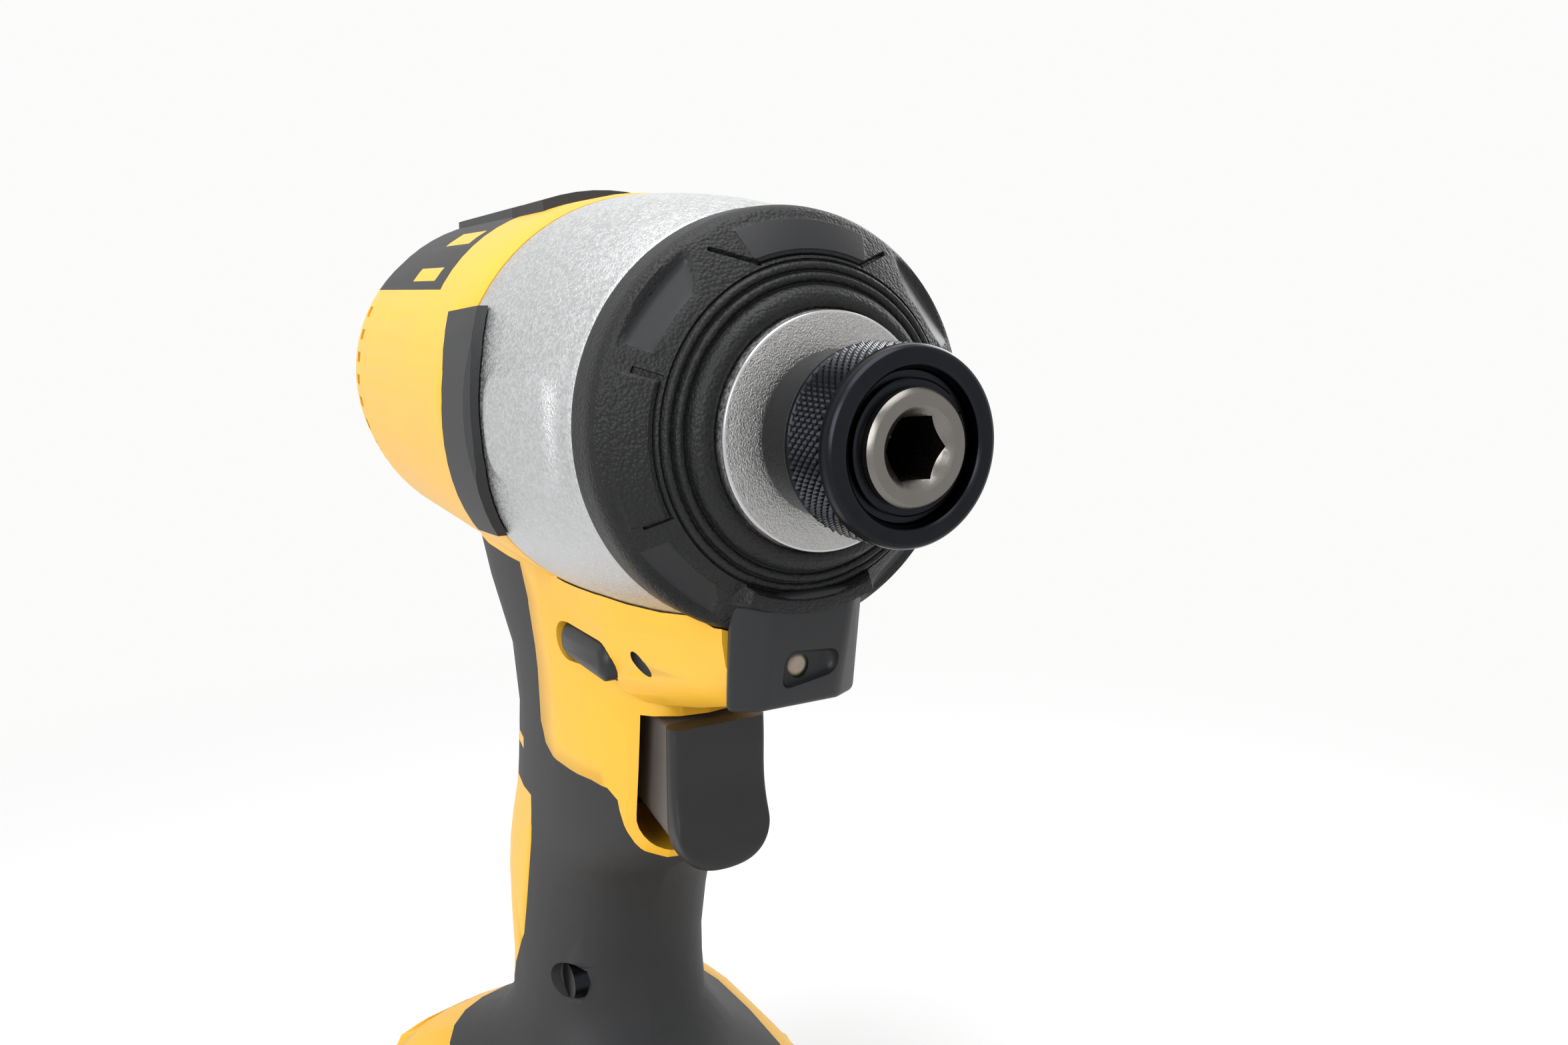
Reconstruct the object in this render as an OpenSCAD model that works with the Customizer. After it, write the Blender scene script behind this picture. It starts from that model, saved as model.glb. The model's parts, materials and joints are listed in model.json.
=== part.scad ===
// Cordless impact driver with a slide-on battery pack, in millimetres.
// The nose points along +X, up is +Z and the base of the pack lies on z = 0.
// The right-hand side, which the photograph shows, is -Y.
// Places along the spindle are distances back from the tip of the anvil.

/* [Nose and collar] */
// Radius of the anvil's round tip
anvil_r = 6.15; // [5.9:0.05:6.4]
// Distance across the flats of the bit socket
hex_af = 6.4; // [6.35:0.05:6.6]
// Depth of the bit socket
socket_depth = 21; // [18:0.5:22]
// Outside radius of the collar's knurled band
collar_r = 10.4; // [10.1:0.1:11]
// Outside radius of the collar's plain sleeve
sleeve_r = 9.3; // [9:0.1:9.7]
// Length of the collar
collar_len = 15.4; // [15:0.2:17]
// Travel of the collar when a bit is freed
collar_travel = 4; // [3:0.5:4.5]
// Radius of the bare disc at the front of the gear case
disc_r = 13.5; // [13:0.25:14]
// Largest radius of the rubber nose bumper
bumper_r = 25.1; // [24.8:0.1:25.6]
// Length of the rubber nose bumper
bumper_len = 12.8; // [12:0.2:14]

/* [Gear case and impact mechanism] */
// Largest radius of the gear case
case_r = 28.5; // [28.2:0.1:28.8]
// Length of the bush that the anvil turns in
bush_len = 10.6; // [10:0.2:13]
// Radius of the anvil's journal in the bush
journal_r = 7.9; // [7.5:0.1:8.3]
// Thickness of the anvil's wings
wing_t = 7; // [6:0.5:8]
// Radius swept by the wings and the hammer's lugs
wing_r = 20; // [18:0.5:20.5]
// Length of the hammer's body
hammer_len = 18; // [17:0.5:20]
// Radius of the hammer
hammer_r = 23.4; // [22:0.2:23.6]
// Travel of the hammer against its spring
hammer_travel = 8; // [7:0.5:9]
// Radius of the spindle that the hammer slides on
spindle_r = 10; // [9.6:0.1:10.4]

/* [Gears and motor] */
// Width of the gears
gear_w = 7; // [6:0.5:9]
// Radius of the stator
stator_r = 25.2; // [24.4:0.1:25.4]
// Length of the stator
stator_len = 22; // [18:1:26]
// Radius of the rotor
rotor_r = 13.2; // [12:0.2:14]
// Radius of the fan
fan_r = 22; // [19:0.5:24]
// Width of the fan
fan_w = 8; // [6:0.5:10]

/* [Housing and handle] */
// Largest radius of the motor housing
barrel_r = 28.9; // [28.8:0.1:30]
// Thickness of the soft overmould
grip_t = 1.4; // [1:0.1:1.6]
// Width of the handle
grip_w = 30; // [28:0.5:34]
// Depth of the handle from front to back
grip_l = 35; // [34:0.5:38]
// Distance of the handle's centre line behind the tip
grip_d = 85.5; // [84:0.5:87]
// Drop from the spindle axis to the bottom of the foot
foot_drop = 134; // [131:0.5:138]
// Length of the foot
foot_l = 84; // [80:1:90]
// Width of the foot
foot_w = 70; // [68:1:76]
// Width of the trigger
trigger_w = 14.6; // [13:0.2:15]
// Height of the trigger
trigger_h = 20.6; // [19.6:0.2:21]
// Travel of the trigger
trigger_travel = 7; // [5:0.5:7.5]
// Travel of the direction button to each side
button_travel = 3; // [2:0.5:4]

/* [Battery pack] */
// Length of the pack
pack_l = 110; // [106:1:116]
// Width of the pack
pack_w = 74; // [72:1:80]
// Height of the pack below the foot
pack_h = 46; // [44:1:52]
// Radius of a cell
cell_r = 9.2; // [9:0.1:9.4]
// Length of a cell
cell_len = 65; // [62:0.5:66]
// Travel of the latch button
latch_travel = 4; // [3:0.5:5]

/* [Hidden] */
// shared fits
over = 0.5;
run_gap = 0.05;
seat_gap = 0.1;
fit_gap = 0.25;
free_gap = 0.4;
slab = 0.25;
round_fn = 72;
section_n = 28;

// places along the spindle, back from the tip
collar_set = 0.5;
collar_back = collar_set + collar_len;
disc_rest = 0.3;
disc_front = collar_back + disc_rest;
disc_lip = 1.2;
bush_front = disc_front + disc_lip;
bush_back = bush_front + bush_len;
cave_front = bush_back + seat_gap;
washer_t = 0.8;
wing_front = cave_front + washer_t + 2 * seat_gap;
wing_back = wing_front + wing_t;
hammer_rest = 0.6;
hammer_front = wing_back + hammer_rest;
hammer_back = hammer_front + hammer_len;
carrier_spare = 3.2;
carrier_front = hammer_back + hammer_travel + carrier_spare;
flange_t = 3;
gear_side = 0.4;
gear_front = carrier_front + flange_t + gear_side;
gear_back = gear_front + gear_w;
carrier_back = gear_back + gear_side + flange_t;
ring_wall = 0.8;
ring_front = gear_front - ring_wall;
ring_back = carrier_back;
case_back = ring_back;
plate_front = case_back + seat_gap;
hub_w = 6;
hub_back = plate_front + hub_w + seat_gap;
plate_wall = 1.6;
brg_w = 4.4;
brg_front = hub_back + plate_wall;
brg_back = brg_front + brg_w;
plate_back = brg_back + seat_gap;
coil_room = 3.2;
stator_front = plate_back + coil_room;
stator_back = stator_front + stator_len;
board_t = 1.2;
board_front = stator_back + coil_room;
fan_room = 1.5;
fan_front = board_front + board_t + fan_room;
fan_back = fan_front + fan_w;
tail_room = 1.5;
tail_brg_front = fan_back + tail_room;
tail_brg_back = tail_brg_front + brg_w;
tail_wall = 3.6;
overall_len = tail_brg_back + free_gap + tail_wall;

// where the tool's own frame lies
pack_gap = 0.4;
axis_h = pack_h + pack_gap + foot_drop;
tip_x = overall_len / 2;

// anvil, collar and what they hold
tip_chamfer = 0.5;
lead_depth = 1.1;
lead_wide = 1.2;
lead_r = hex_af / 2 + lead_wide;
snap_d = 1.3;
snap_t = 0.8;
snap_depth = 0.6;
snap_proud = 0.9;
snap_ring_r = anvil_r + snap_proud;
stop_t = 0.8;
stop_front = snap_d + snap_t + seat_gap;
stop_back = stop_front + stop_t;
sleeve_wall = 1.3;
chamber_r = sleeve_r - sleeve_wall;
land_t = 2.2;
spring_solid = 3.6;
land_front = stop_back + spring_solid + collar_travel;
land_back = land_front + land_t;
recess_deep = 1.5;
recess_r = anvil_r + recess_deep;
ball_r = 1.6;
ball_d = (land_front + land_back) / 2;
ball_out = anvil_r - ball_r - run_gap;
collar_edge = 0.5;
band_len = 9;
band_back = collar_set + band_len;
band_lip = 1.7;
neck_front = disc_front + free_gap;
pilot_r = 4;
pilot_len = 8;
hub_r = 9.5;
wing_w = 11;
bush_r = 10.2;
washer_r = 14;

// gear case
wing_gap = 1;
cave_r = wing_r + wing_gap;
hammer_gap = 0.8;
hall_r = hammer_r + hammer_gap;
ring_r = 25;
case_wall = 2;
case_in_r = ring_r + case_wall;
disc_proud = 1.2;
bumper_front = disc_front + disc_proud;
bumper_back = bumper_front + bumper_len;
bumper_t = 2.5;
bare_len = 32;
band_front = bumper_back + bare_len;
band_gap = 0.3;
step_d = band_front - band_gap;
case_r_shares = [0.876, 0.915, 0.95, 0.978, 0.993, 1, 1];
case_d_shares = [0, 0.15, 0.35, 0.58, 0.78, 0.92, 1];
pad_rise = 0.7;
pad_l = 17;
pad_h = 13;
pad_drop = 1;
pad_round = 3;
pad_set = 4;
pad_front = bumper_back + pad_set;

// nose bumper: outline as shares of its own radius step and length
bump_r_shares = [0, 0.1, 0.125, 0.2, 0.225, 0.32, 0.345, 0.43, 0.9, 0.975, 1, 0.975, 0.9];
bump_d_shares = [0.01, 0.01, 0.075, 0.075, 0.14, 0.14, 0.2, 0.21, 0.5, 0.58, 0.68, 0.87, 1];
seat_d_shares = [0.09, 0.36, 0.68];
seat_r_share = 0.42;
bump_ring = 0.3;
bump_in = disc_r + bump_ring;
pad_turn = 44;
bump_pad_rise = 0.7;
facet_deep = 0.9;
facet_w = 17;

// impact mechanism
lug_turn = 40;
lug_in = 11.5;
lug_short = 1;
lug_reach = wing_t - lug_short;
spring_r = 15;
spring_wire = 1.1;
spring_side = 0.7;
pocket_in = spring_r - spring_wire - spring_side;
pocket_out = spring_r + spring_wire + spring_side;
hammer_face_t = 5;
pocket_front = hammer_front + hammer_face_t;
thrust_r = 0.8;
thrust_n = 14;
seat_front = pocket_front + 2 * thrust_r + 2 * run_gap;
seat_t = 1;
seat_back = seat_front + seat_t;
cam_ball_r = 2.2;
cam_room = 0.35;
cam_floor = 0.3;
cam_turn = 45;
cam_steps = 7;
cam_set = 5;
cam_d = hammer_back - cam_set;
flange_r = 17.4;

// gears: ten-tooth sun, twenty-tooth planets, fifty-tooth ring
gear_module = 0.75;
sun_z = 10;
planet_z = 20;
ring_z = 50;
pressure = 20;
addendum_share = 0.65;
dedendum_share = 0.92;
flank_share = 0.4;
backlash = 0.16;
sun_r = gear_module * sun_z / 2;
planet_r = gear_module * planet_z / 2;
planet_at = sun_r + planet_r;
pin_r = 2.4;
hub_out = 10;
hub_bore = sun_r + gear_module + free_gap;
spindle_brg_r = 14;
post_r = 2.2;
post_at = 13.4;

// motor
plate_r = 26.4;
nib_r = 2;
shaft_r = 3;
shaft_side = 2;
rotor_brg_r = 8;
air_gap = 0.5;
stator_in = rotor_r + air_gap;
yoke_t = 4;
tooth_w = 6;
shoe_t = 2;
shoe_turn = 46;
coil_w = 3;
coil_gap = 0.3;
board_in = 12;
fan_hub_r = 6;
fan_disc_t = 1.4;
blade_n = 11;
blade_t = 1.2;
blade_lean = 28;

// motor housing outline, as shares of its length and radius
barrel_d_shares = [0, 0.02, 0.12, 0.24, 0.49, 0.8, 0.9, 0.963, 1];
barrel_r_shares = [0.988, 1, 0.998, 0.992, 0.98, 0.965, 0.925, 0.83, 0.63];

// handle stations: drop, front, back and width as shares, then the corner power
handle_shares = [
    [0.12, 1.07, 0.986, 1.13, 2.6],
    [0.224, 1.143, 0.671, 1.1, 2.6],
    [0.299, 1.129, 0.471, 1.033, 2.3],
    [0.373, 1.114, 0.443, 1, 2.2],
    [0.425, 1.086, 0.471, 1, 2.2],
    [0.463, 1.029, 0.486, 1, 2.2],
    [0.493, 0.943, 0.497, 1, 2.2],
    [0.53, 0.729, 0.509, 1, 2.3],
    [0.567, 0.629, 0.52, 1.007, 2.4],
    [0.61, 0.566, 0.529, 1.013, 2.4],
    [0.672, 0.5, 0.5, 1.013, 2.4],
    [0.724, 0.486, 0.457, 1.02, 2.4],
    [0.776, 0.5, 0.46, 1.05, 2.4]];
room_row = 7;
foot_lead = 3.5;
foot_d = grip_d - foot_lead;
foot_shares = [
    [0.821, 0.27, 0.27, 0.56, 2.6],
    [0.858, 0.37, 0.36, 0.74, 3],
    [0.8955, 0.46, 0.45, 0.9, 4],
    [0.925, 0.494, 0.494, 0.985, 5],
    [1, 0.5, 0.5, 1, 5]];

// yellow nose under the gear case: place, half width and bottom as shares
nose_set = 7.6;
nose_front = bumper_front + nose_set;
nose_len = band_front - nose_front;
nose_half = 16;
nose_drop = 41;
nose_mid = 20;
nose_shares = [
    [0, 0.58, 0.824],
    [0.15, 0.7, 0.868],
    [0.37, 0.85, 0.932],
    [0.6, 0.9625, 0.988],
    [1.2, 1, 1]];

// overmould outlines on the side of the tool: back and drop, as shares
grip_edge_shares = [
    [1.7, 0.181], [0.88, 0.181], [0.849, 0.219], [0.841, 0.273], [0.845, 0.321], [0.849, 0.362],
    [0.833, 0.385], [0.801, 0.395], [0.744, 0.398], [0.684, 0.399], [0.65, 0.402], [0.633, 0.413],
    [0.63, 0.432], [0.628, 0.449], [0.621, 0.47], [0.61, 0.484], [0.59, 0.491], [0.42, 0.494],
    [0.42, 0.86], [1.7, 0.86]];
spine_shares = [[1.7, 0.47], [0.924, 0.47], [0.924, 0.51], [0.965, 0.619], [0.986, 0.667],
    [1.08, 0.754], [1.7, 0.754]];
seam_shares = [0.975, 0.41];
seam_h = 1.8;
roof_z = 15.5;
roof_set = 21.8;
roof_front = band_front + roof_set;
roof_lean = 14;
window_l = 14;
window_h = 2;
window_set = 7;
window_d = roof_front + window_set;
window_lift_shares = [0.1, 0.52];
strip_rise = 1;
strip_front_shares = [[-0.16, 0.474], [-0.273, 0.267], [-0.307, 0.025], [-0.287, -0.232],
    [-0.11, -0.586]];
strip_back_shares = [[0.34, -0.64], [0.2, -0.351], [0.117, -0.105], [0.1, 0.165], [0.26, 0.442]];
strip_l = 30;
ridge_rise = 1.3;
ridge_w = 21;
ridge_l = 15;
tail_ridge_l = 32;
ridge_gap = 4;
ridge_lap = 8;
ridge_front = roof_front - ridge_lap;
tail_ridge_front = ridge_front + ridge_l + ridge_gap;
ridge_end = tail_ridge_front + tail_ridge_l;
vent_n = 7;
vent_w = 1.8;
vent_l = 5;
vent_pitch = 3.9;
vent_set = 14;
vent_d = overall_len - vent_set;

// trigger, switch and direction button
trigger_lead = 45.2;
trigger_front = grip_d - trigger_lead;
trigger_top = 42.3;
trigger_l = 20;
trigger_round = 2.6;
tongue_round = 6;
trigger_side = 0.6;
slot_side = 1.4;
slot_round = 6.6;
finger_pad_l = 5.6;
cheek_side = 0.9;
cheek_half = trigger_w / 2 - cheek_side;
trigger_shares = [
    [0.12, 0], [0.1, 0.15], [0.11, 0.35], [0.1, 0.55], [0.04, 0.75], [0, 0.88], [0.03, 0.97],
    [0.12, 1], [0.24, 0.97], [0.4, 0.92], [0.7, 0.86], [1, 0.8], [1, 0]];
stem_r = 3;
stem_l = 10;
stem_set = 8.5;
stem_drop = trigger_top + stem_set;
stem_room = 1;
switch_spare = 1.6;
switch_front = trigger_front + trigger_l + trigger_travel + switch_spare;
switch_l = 25;
switch_w = 19;
switch_h = 26;
switch_lift = 2;
switch_top = trigger_top - switch_lift;
button_lead = 30.5;
button_d = grip_d - button_lead;
button_set = 4.5;
button_drop = case_r + button_set;
button_l = 17;
button_h = 5.6;
button_proud_share = 0.3;
neck_share = 0.925;

// screws that close the housing: back and drop
screw_r = 1.5;
screw_head_r = 2.8;
screw_head_t = 2.2;
screw_l = 18;
screw_side = 9.5;
grip_screw_shares = [0.357, 0.694];
foot_screw_shares = [-0.39, 0.42];
foot_screw_drop_share = 0.9097;
screw_places = [
    [grip_d - grip_screw_shares[0] * grip_l, grip_screw_shares[1] * foot_drop],
    [foot_d + foot_screw_shares[0] * foot_l, foot_screw_drop_share * foot_drop],
    [foot_d + foot_screw_shares[1] * foot_l, foot_screw_drop_share * foot_drop]];

// lamp under the nose
led_set = 3.6;
led_front = disc_front + led_set;
led_back = nose_front - seat_gap;
led_half = 6;
led_back_half = 9.3;
led_top = 18.5;
led_bottom = 34;
led_hole_r = 2.6;
led_r = 2;
led_drop = 28.8;
led_l = 3;
led_board_t = 1.2;
led_board_w = 10;
led_board_h = 6;

// foot, rails and contacts
foot_side = 8.6;
rail_w = 4;
rail_out = foot_w / 2 - foot_side;
rail_in = rail_out - rail_w;
rail_h = 4;
channel_h = 8.8;
channel_share = 0.4;
channel_back = foot_d + channel_share * foot_l;
block_l = 17;
block_side = 6.4;
block_w = 2 * (rail_in - block_side);
block_h = 4.2;
blade_out_l = 10;
blade_count = 5;
blade_side = 4;
blade_pitch = (block_w - 2 * blade_side) / (blade_count - 1);
contact_t = 0.8;
contact_h = 4;
slot_w = 2;
control_l = 48;
control_w = 42;
control_h = 5.6;
control_lead = 2;
control_d = foot_d - control_lead;
insert_r = 3.2;
insert_bore_r = 1.65;
insert_l = 7;
insert_sink = 0.6;
insert_share = 0.9455;
insert_drop = insert_share * foot_drop;
wire_r = 7;
handle_wall = 2.4;

// battery pack
pack_lead = 3;
pack_d = foot_d - pack_lead;
pack_wall = 3;
split_share = 0.48;
pack_split = split_share * pack_h;
pack_power = 8;
pack_edge = 4;
pack_n = 56;
rib_n = 4;
rib_pitch = 4.4;
rib_t = 2;
rib_deep = 1;
circuit_set = 7.5;
cell_gap = 0.6;
cell_side = 6.4;
cell_n = floor((pack_l - 2 * cell_side) / (2 * cell_r + cell_gap));
tower_share = 0.32;
tower_front = pack_d - tower_share * pack_l;
latch_w = 27;
latch_l = 13;
latch_h = 15;
latch_gap = 0.4;
latch_seat = 1.5;
latch_lip = 9;
latch_grip_deep = 3;
latch_spring_r = 3;
latch_spring_l = 7;
latch_spring_at = 5;
tooth_short = 0.3;
tooth_l = 4;
contact_l = 6;
pack_screw_r = 1.2;
pack_screw_head = 2.1;
pack_screw_l = 24;
pack_screw_set = 4.62;
pack_screw_y_share = 0.25;

// which solid to draw

// small helpers
function sgn_pow(v, p) = sign(v) * pow(abs(v), p);
function round_box(a, b, p, n) = [for (i = [0:n - 1]) let (t = 360 * i / n)
    [a * sgn_pow(cos(t), 2 / p), b * sgn_pow(sin(t), 2 / p)]];
function curve(p, i, t) = let (n = len(p), a = p[max(i - 1, 0)], b = p[i], c = p[i + 1],
    d = p[min(i + 2, n - 1)])
    (2 * b + (c - a) * t + (2 * a - 5 * b + 4 * c - d) * t * t
    + (3 * b - a - 3 * c + d) * t * t * t) / 2;
function smooth(p, k) = concat([for (i = [0:len(p) - 2]) for (j = [0:k - 1]) curve(p, i, j / k)],
    [p[len(p) - 1]]);

module tool() translate([tip_x, 0, axis_h]) children();
module spun(pts, from = 0, turn = 360)
    rotate([0, -90, 0]) rotate([0, 0, from]) rotate_extrude(angle = turn, $fn = round_fn) polygon(pts);
module rod(r, d0, d1) translate([-d1, 0, 0]) rotate([0, 90, 0]) cylinder(r = r, h = d1 - d0,
    $fn = round_fn);
module tube(r_out, r_in, d0, d1) difference() {
    rod(r_out, d0, d1);
    rod(r_in, d0 - over, d1 + over);
}
module block(d0, d1, half, z0, z1) translate([-d1, -half, z0]) cube([d1 - d0, 2 * half, z1 - z0]);
module side_cut(half) rotate([90, 0, 0]) linear_extrude(height = 2 * half, center = true) children();
module cross_hole(r, d, drop, y0, y1, n = 20)
    translate([-d, y0, -drop]) rotate([-90, 0, 0]) cylinder(r = r, h = y1 - y0, $fn = n);
module oval(l, h, n = 32) {
    square([l - h, h], center = true);
    for (s = [-1, 1]) translate([s * (l - h) / 2, 0]) circle(r = h / 2, $fn = n);
}

// outline points shared by the gear case and what sits round it
case_pts = [for (i = [0:len(case_r_shares) - 1])
    [case_r * case_r_shares[i], bumper_back + case_d_shares[i] * (step_d - bumper_back)]];
bump_pts = [for (i = [0:len(bump_r_shares) - 1])
    [bump_in + bump_r_shares[i] * (bumper_r - bump_in), bumper_front + bump_d_shares[i] * bumper_len]];
cone_r = bumper_r - bumper_t;
seat_pts = [[disc_r, bumper_front], [disc_r, bumper_front + seat_d_shares[0] * bumper_len],
    [bump_in + seat_r_share * (bumper_r - bump_in), bumper_front + seat_d_shares[1] * bumper_len],
    [cone_r, bumper_front + seat_d_shares[2] * bumper_len], [cone_r, bumper_back]];

// solid round the whole nose, used to clear the housing and the lamp holder
module head_room(gap)
    spun(concat([[0, disc_front]], [for (p = bump_pts) [p[0] + gap, p[1]]],
        [for (p = case_pts) [p[0] + gap, p[1]]], [[case_in_r + gap, step_d + gap], [0, step_d + gap]]));

module anvil() tool() color("#b8b4ac") difference() {
    union() {
        spun([[0, 0], [anvil_r - tip_chamfer, 0], [anvil_r, tip_chamfer], [anvil_r, neck_front],
            [journal_r, neck_front + (journal_r - anvil_r)], [journal_r, wing_front], [hub_r, wing_front],
            [hub_r, wing_back], [0, wing_back]]);
        intersection() {
            rod(wing_r, wing_front, wing_back);
            block(wing_front, wing_back, wing_w / 2, -wing_r, wing_r);
        }
    }
    translate([-socket_depth, 0, 0]) rotate([0, 90, 0]) rotate([0, 0, 30])
        cylinder(r = hex_af / sqrt(3), h = socket_depth + over, $fn = 6);
    spun([[0, -over], [lead_r, -over], [lead_r, 0], [hex_af / 2, lead_depth], [0, lead_depth]]);
    tube(anvil_r + over, anvil_r - snap_depth, snap_d, snap_d + snap_t);
    for (s = [-1, 1]) translate([-ball_d, 0, 0]) rotate([-90 * s, 0, 0])
        cylinder(r = ball_r + run_gap, h = anvil_r + over, $fn = 32);
    rod(pilot_r + run_gap, wing_back - pilot_len, wing_back + over);
}
module snap_ring() tool() color("#202020") tube(snap_ring_r, anvil_r - snap_depth + run_gap,
    snap_d + run_gap, snap_d + snap_t - run_gap);
module collar_washer() tool() color("#202020") tube(chamber_r - fit_gap, anvil_r + run_gap, stop_front,
    stop_back);
module collar_spring() tool() color("#808080")
    tube(chamber_r - 2 * fit_gap, anvil_r + fit_gap, stop_back + seat_gap, land_front - seat_gap);
module detent_balls() tool() color("#a0a0a0")
    for (s = [-1, 1]) translate([-ball_d, s * ball_out, 0]) sphere(r = ball_r, $fn = 32);
module collar() tool() color("#1d1d1f") spun([[chamber_r, collar_set],
    [collar_r - collar_edge, collar_set], [collar_r, collar_set + collar_edge], [collar_r,
        band_back - band_lip],
    [collar_r, band_back], [sleeve_r, band_back + collar_r - sleeve_r], [sleeve_r,
        collar_back - collar_edge],
    [sleeve_r - collar_edge, collar_back], [recess_r, collar_back], [recess_r, land_back],
    [anvil_r + run_gap, land_back], [anvil_r + run_gap, land_front], [chamber_r, land_front]]);
module anvil_bush() tool() color("#b08040") tube(bush_r, journal_r + run_gap, bush_front, bush_back);
module anvil_washer() tool() color("#909090")
    tube(washer_r, journal_r + fit_gap, cave_front + seat_gap, cave_front + seat_gap + washer_t);

module gear_case() tool() color("#b9bcbe") union() {
    spun(concat([[journal_r + free_gap, disc_front], [disc_r - collar_edge, disc_front],
        [disc_r, disc_front + collar_edge]], seat_pts, case_pts,
        [[case_in_r, step_d], [case_in_r, case_back], [ring_r + run_gap, case_back],
        [ring_r + run_gap, ring_front - seat_gap], [hall_r, ring_front - seat_gap],
        [hall_r, hammer_front], [cave_r, hammer_front], [cave_r, cave_front], [bush_r + run_gap,
            cave_front],
        [bush_r + run_gap, bush_front], [journal_r + free_gap, bush_front]]));
    intersection() {
        spun(concat([for (p = case_pts) [p[0] + pad_rise, p[1]]],
            [for (i = [len(case_pts) - 1:-1:0]) [case_pts[i][0] - pad_rise, case_pts[i][1]]]));
        side_cut(case_r + pad_rise) translate([-pad_front - pad_l / 2, -pad_drop]) {
            square([pad_l, pad_h - 2 * pad_round], center = true);
            square([pad_l - 2 * pad_round, pad_h], center = true);
            for (s = [-1, 1]) for (t = [-1, 1]) translate([s * (pad_l / 2 - pad_round),
                t * (pad_h / 2 - pad_round)])
                circle(r = pad_round, $fn = 24);
        }
    }
}

module nose_bumper() tool() color("#2a2b2d") difference() {
    union() {
        spun(concat(bump_pts, [for (i = [len(seat_pts) - 1:-1:1]) seat_pts[i] + [seat_gap, 0]],
            [[bump_in, bump_pts[0][1]]]));
        for (a = [0, 90, 270]) spun([bump_pts[7] + [bump_pad_rise, 0], bump_pts[7] + [bump_pad_rise,
            -bump_pad_rise],
            bump_pts[8] + [-bump_pad_rise, -bump_pad_rise], bump_pts[8] - [bump_pad_rise, 0]],
            a - pad_turn / 2, pad_turn);
    }
    for (a = [45, 135, 225, 315]) rotate([a, 0, 0])
        translate([-bumper_back, -facet_w / 2, bumper_r - facet_deep]) cube([bumper_len, facet_w,
            bumper_r]);
    led_block(seat_gap);
}
module led_block(gap) translate([0, 0, -led_bottom - gap])
    linear_extrude(height = led_bottom - led_top + 2 * gap)
    polygon([[-led_front + gap, led_half + gap], [-led_back + led_half / 3, led_back_half + gap],
    [-led_back - gap, led_back_half + gap], [-led_back - gap, -led_back_half - gap],
    [-led_back + led_half / 3, -led_back_half - gap], [-led_front + gap, -led_half - gap]]);
module led_foot() tool() color("#161719") difference() {
    led_block(0);
    spun([[0, disc_front], [seat_pts[1][0] + seat_gap, disc_front], [seat_pts[1][0] + seat_gap,
        seat_pts[1][1]],
        seat_pts[2] + [seat_gap, -seat_gap], seat_pts[3] + [seat_gap, -seat_gap],
            [seat_pts[4][0] + seat_gap, led_back + over],
        [0, led_back + over]]);
    translate([0, 0, -led_drop]) rod(led_hole_r, led_front - over, led_front + led_l + run_gap);
    block(led_front + led_l, led_back + over, led_board_w / 2 + seat_gap,
        -led_drop - led_board_h / 2 - seat_gap,
        -led_drop + led_board_h / 2 + seat_gap);
}
module led_lens() tool() color("#e8c070") translate([0, 0, -led_drop]) intersection() {
    union() {
        rod(led_r, led_front + led_r, led_front + led_l);
        translate([-led_front - led_r, 0, 0]) sphere(r = led_r, $fn = 32);
    }
    rod(led_r + over, led_front - over, led_front + led_l);
}
module led_board() tool() color("#206030") block(led_front + led_l + run_gap,
    led_front + led_l + run_gap + led_board_t,
    led_board_w / 2, -led_drop - led_board_h / 2, -led_drop + led_board_h / 2);

module hammer() tool() color("#6f6f72") difference() {
    union() {
        tube(hammer_r, spindle_r + run_gap, hammer_front, hammer_back);
        for (a = [90, 270]) spun([[lug_in, hammer_front - lug_reach], [wing_r, hammer_front - lug_reach],
            [wing_r, hammer_front + over], [lug_in, hammer_front + over]], a - lug_turn / 2, lug_turn);
    }
    tube(pocket_out, pocket_in, pocket_front, hammer_back + over);
    for (h = [0, 180]) for (i = [0:cam_steps - 1])
        rotate([h - cam_turn * i / (cam_steps - 1), 0, 0])
            translate([-cam_d + hammer_travel * i / (cam_steps - 1), 0, 0])
                cylinder(r = cam_ball_r + cam_room, h = spindle_r + cam_ball_r + cam_floor, $fn = 32);
}
module thrust_balls() tool() color("#a0a0a0") for (i = [0:thrust_n - 1]) rotate([360 * i / thrust_n, 0, 0])
    translate([-pocket_front - thrust_r - run_gap, 0, spring_r]) sphere(r = thrust_r, $fn = 24);
module spring_washer() tool() color("#909090")
    tube(pocket_out - fit_gap, pocket_in + fit_gap, seat_front, seat_back);
module hammer_spring() tool() color("#5a5a5e") tube(spring_r + spring_wire, spring_r - spring_wire,
    seat_back + seat_gap, carrier_front - seat_gap);
module cam_balls() tool() color("#a0a0a0") for (s = [-1, 1])
    translate([-cam_d, 0, s * spindle_r]) sphere(r = cam_ball_r, $fn = 32);
module spindle() tool() color("#8b8b8f") difference() {
    union() {
        rod(pilot_r, wing_back - pilot_len + free_gap, wing_back + free_gap);
        rod(spindle_r, wing_back + free_gap, carrier_front);
        rod(flange_r, carrier_front, carrier_front + flange_t);
        rod(flange_r, carrier_back - flange_t, carrier_back);
        rod(hub_out, carrier_back - flange_t, hub_back - seat_gap);
        for (a = [60, 180, 300]) rotate([a, 0, 0]) translate([0, 0, post_at])
            rod(post_r, carrier_front + flange_t - over, carrier_back - flange_t + over);
    }
    rod(hub_bore, carrier_front + over, hub_back + over);
    for (s = [-1, 1]) translate([-cam_d, 0, s * spindle_r]) sphere(r = cam_ball_r + run_gap, $fn = 32);
    for (a = [0, 120, 240]) rotate([a, 0, 0]) translate([0, 0, planet_at])
        rod(pin_r + run_gap, carrier_front - over, carrier_back + over);
}
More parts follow.
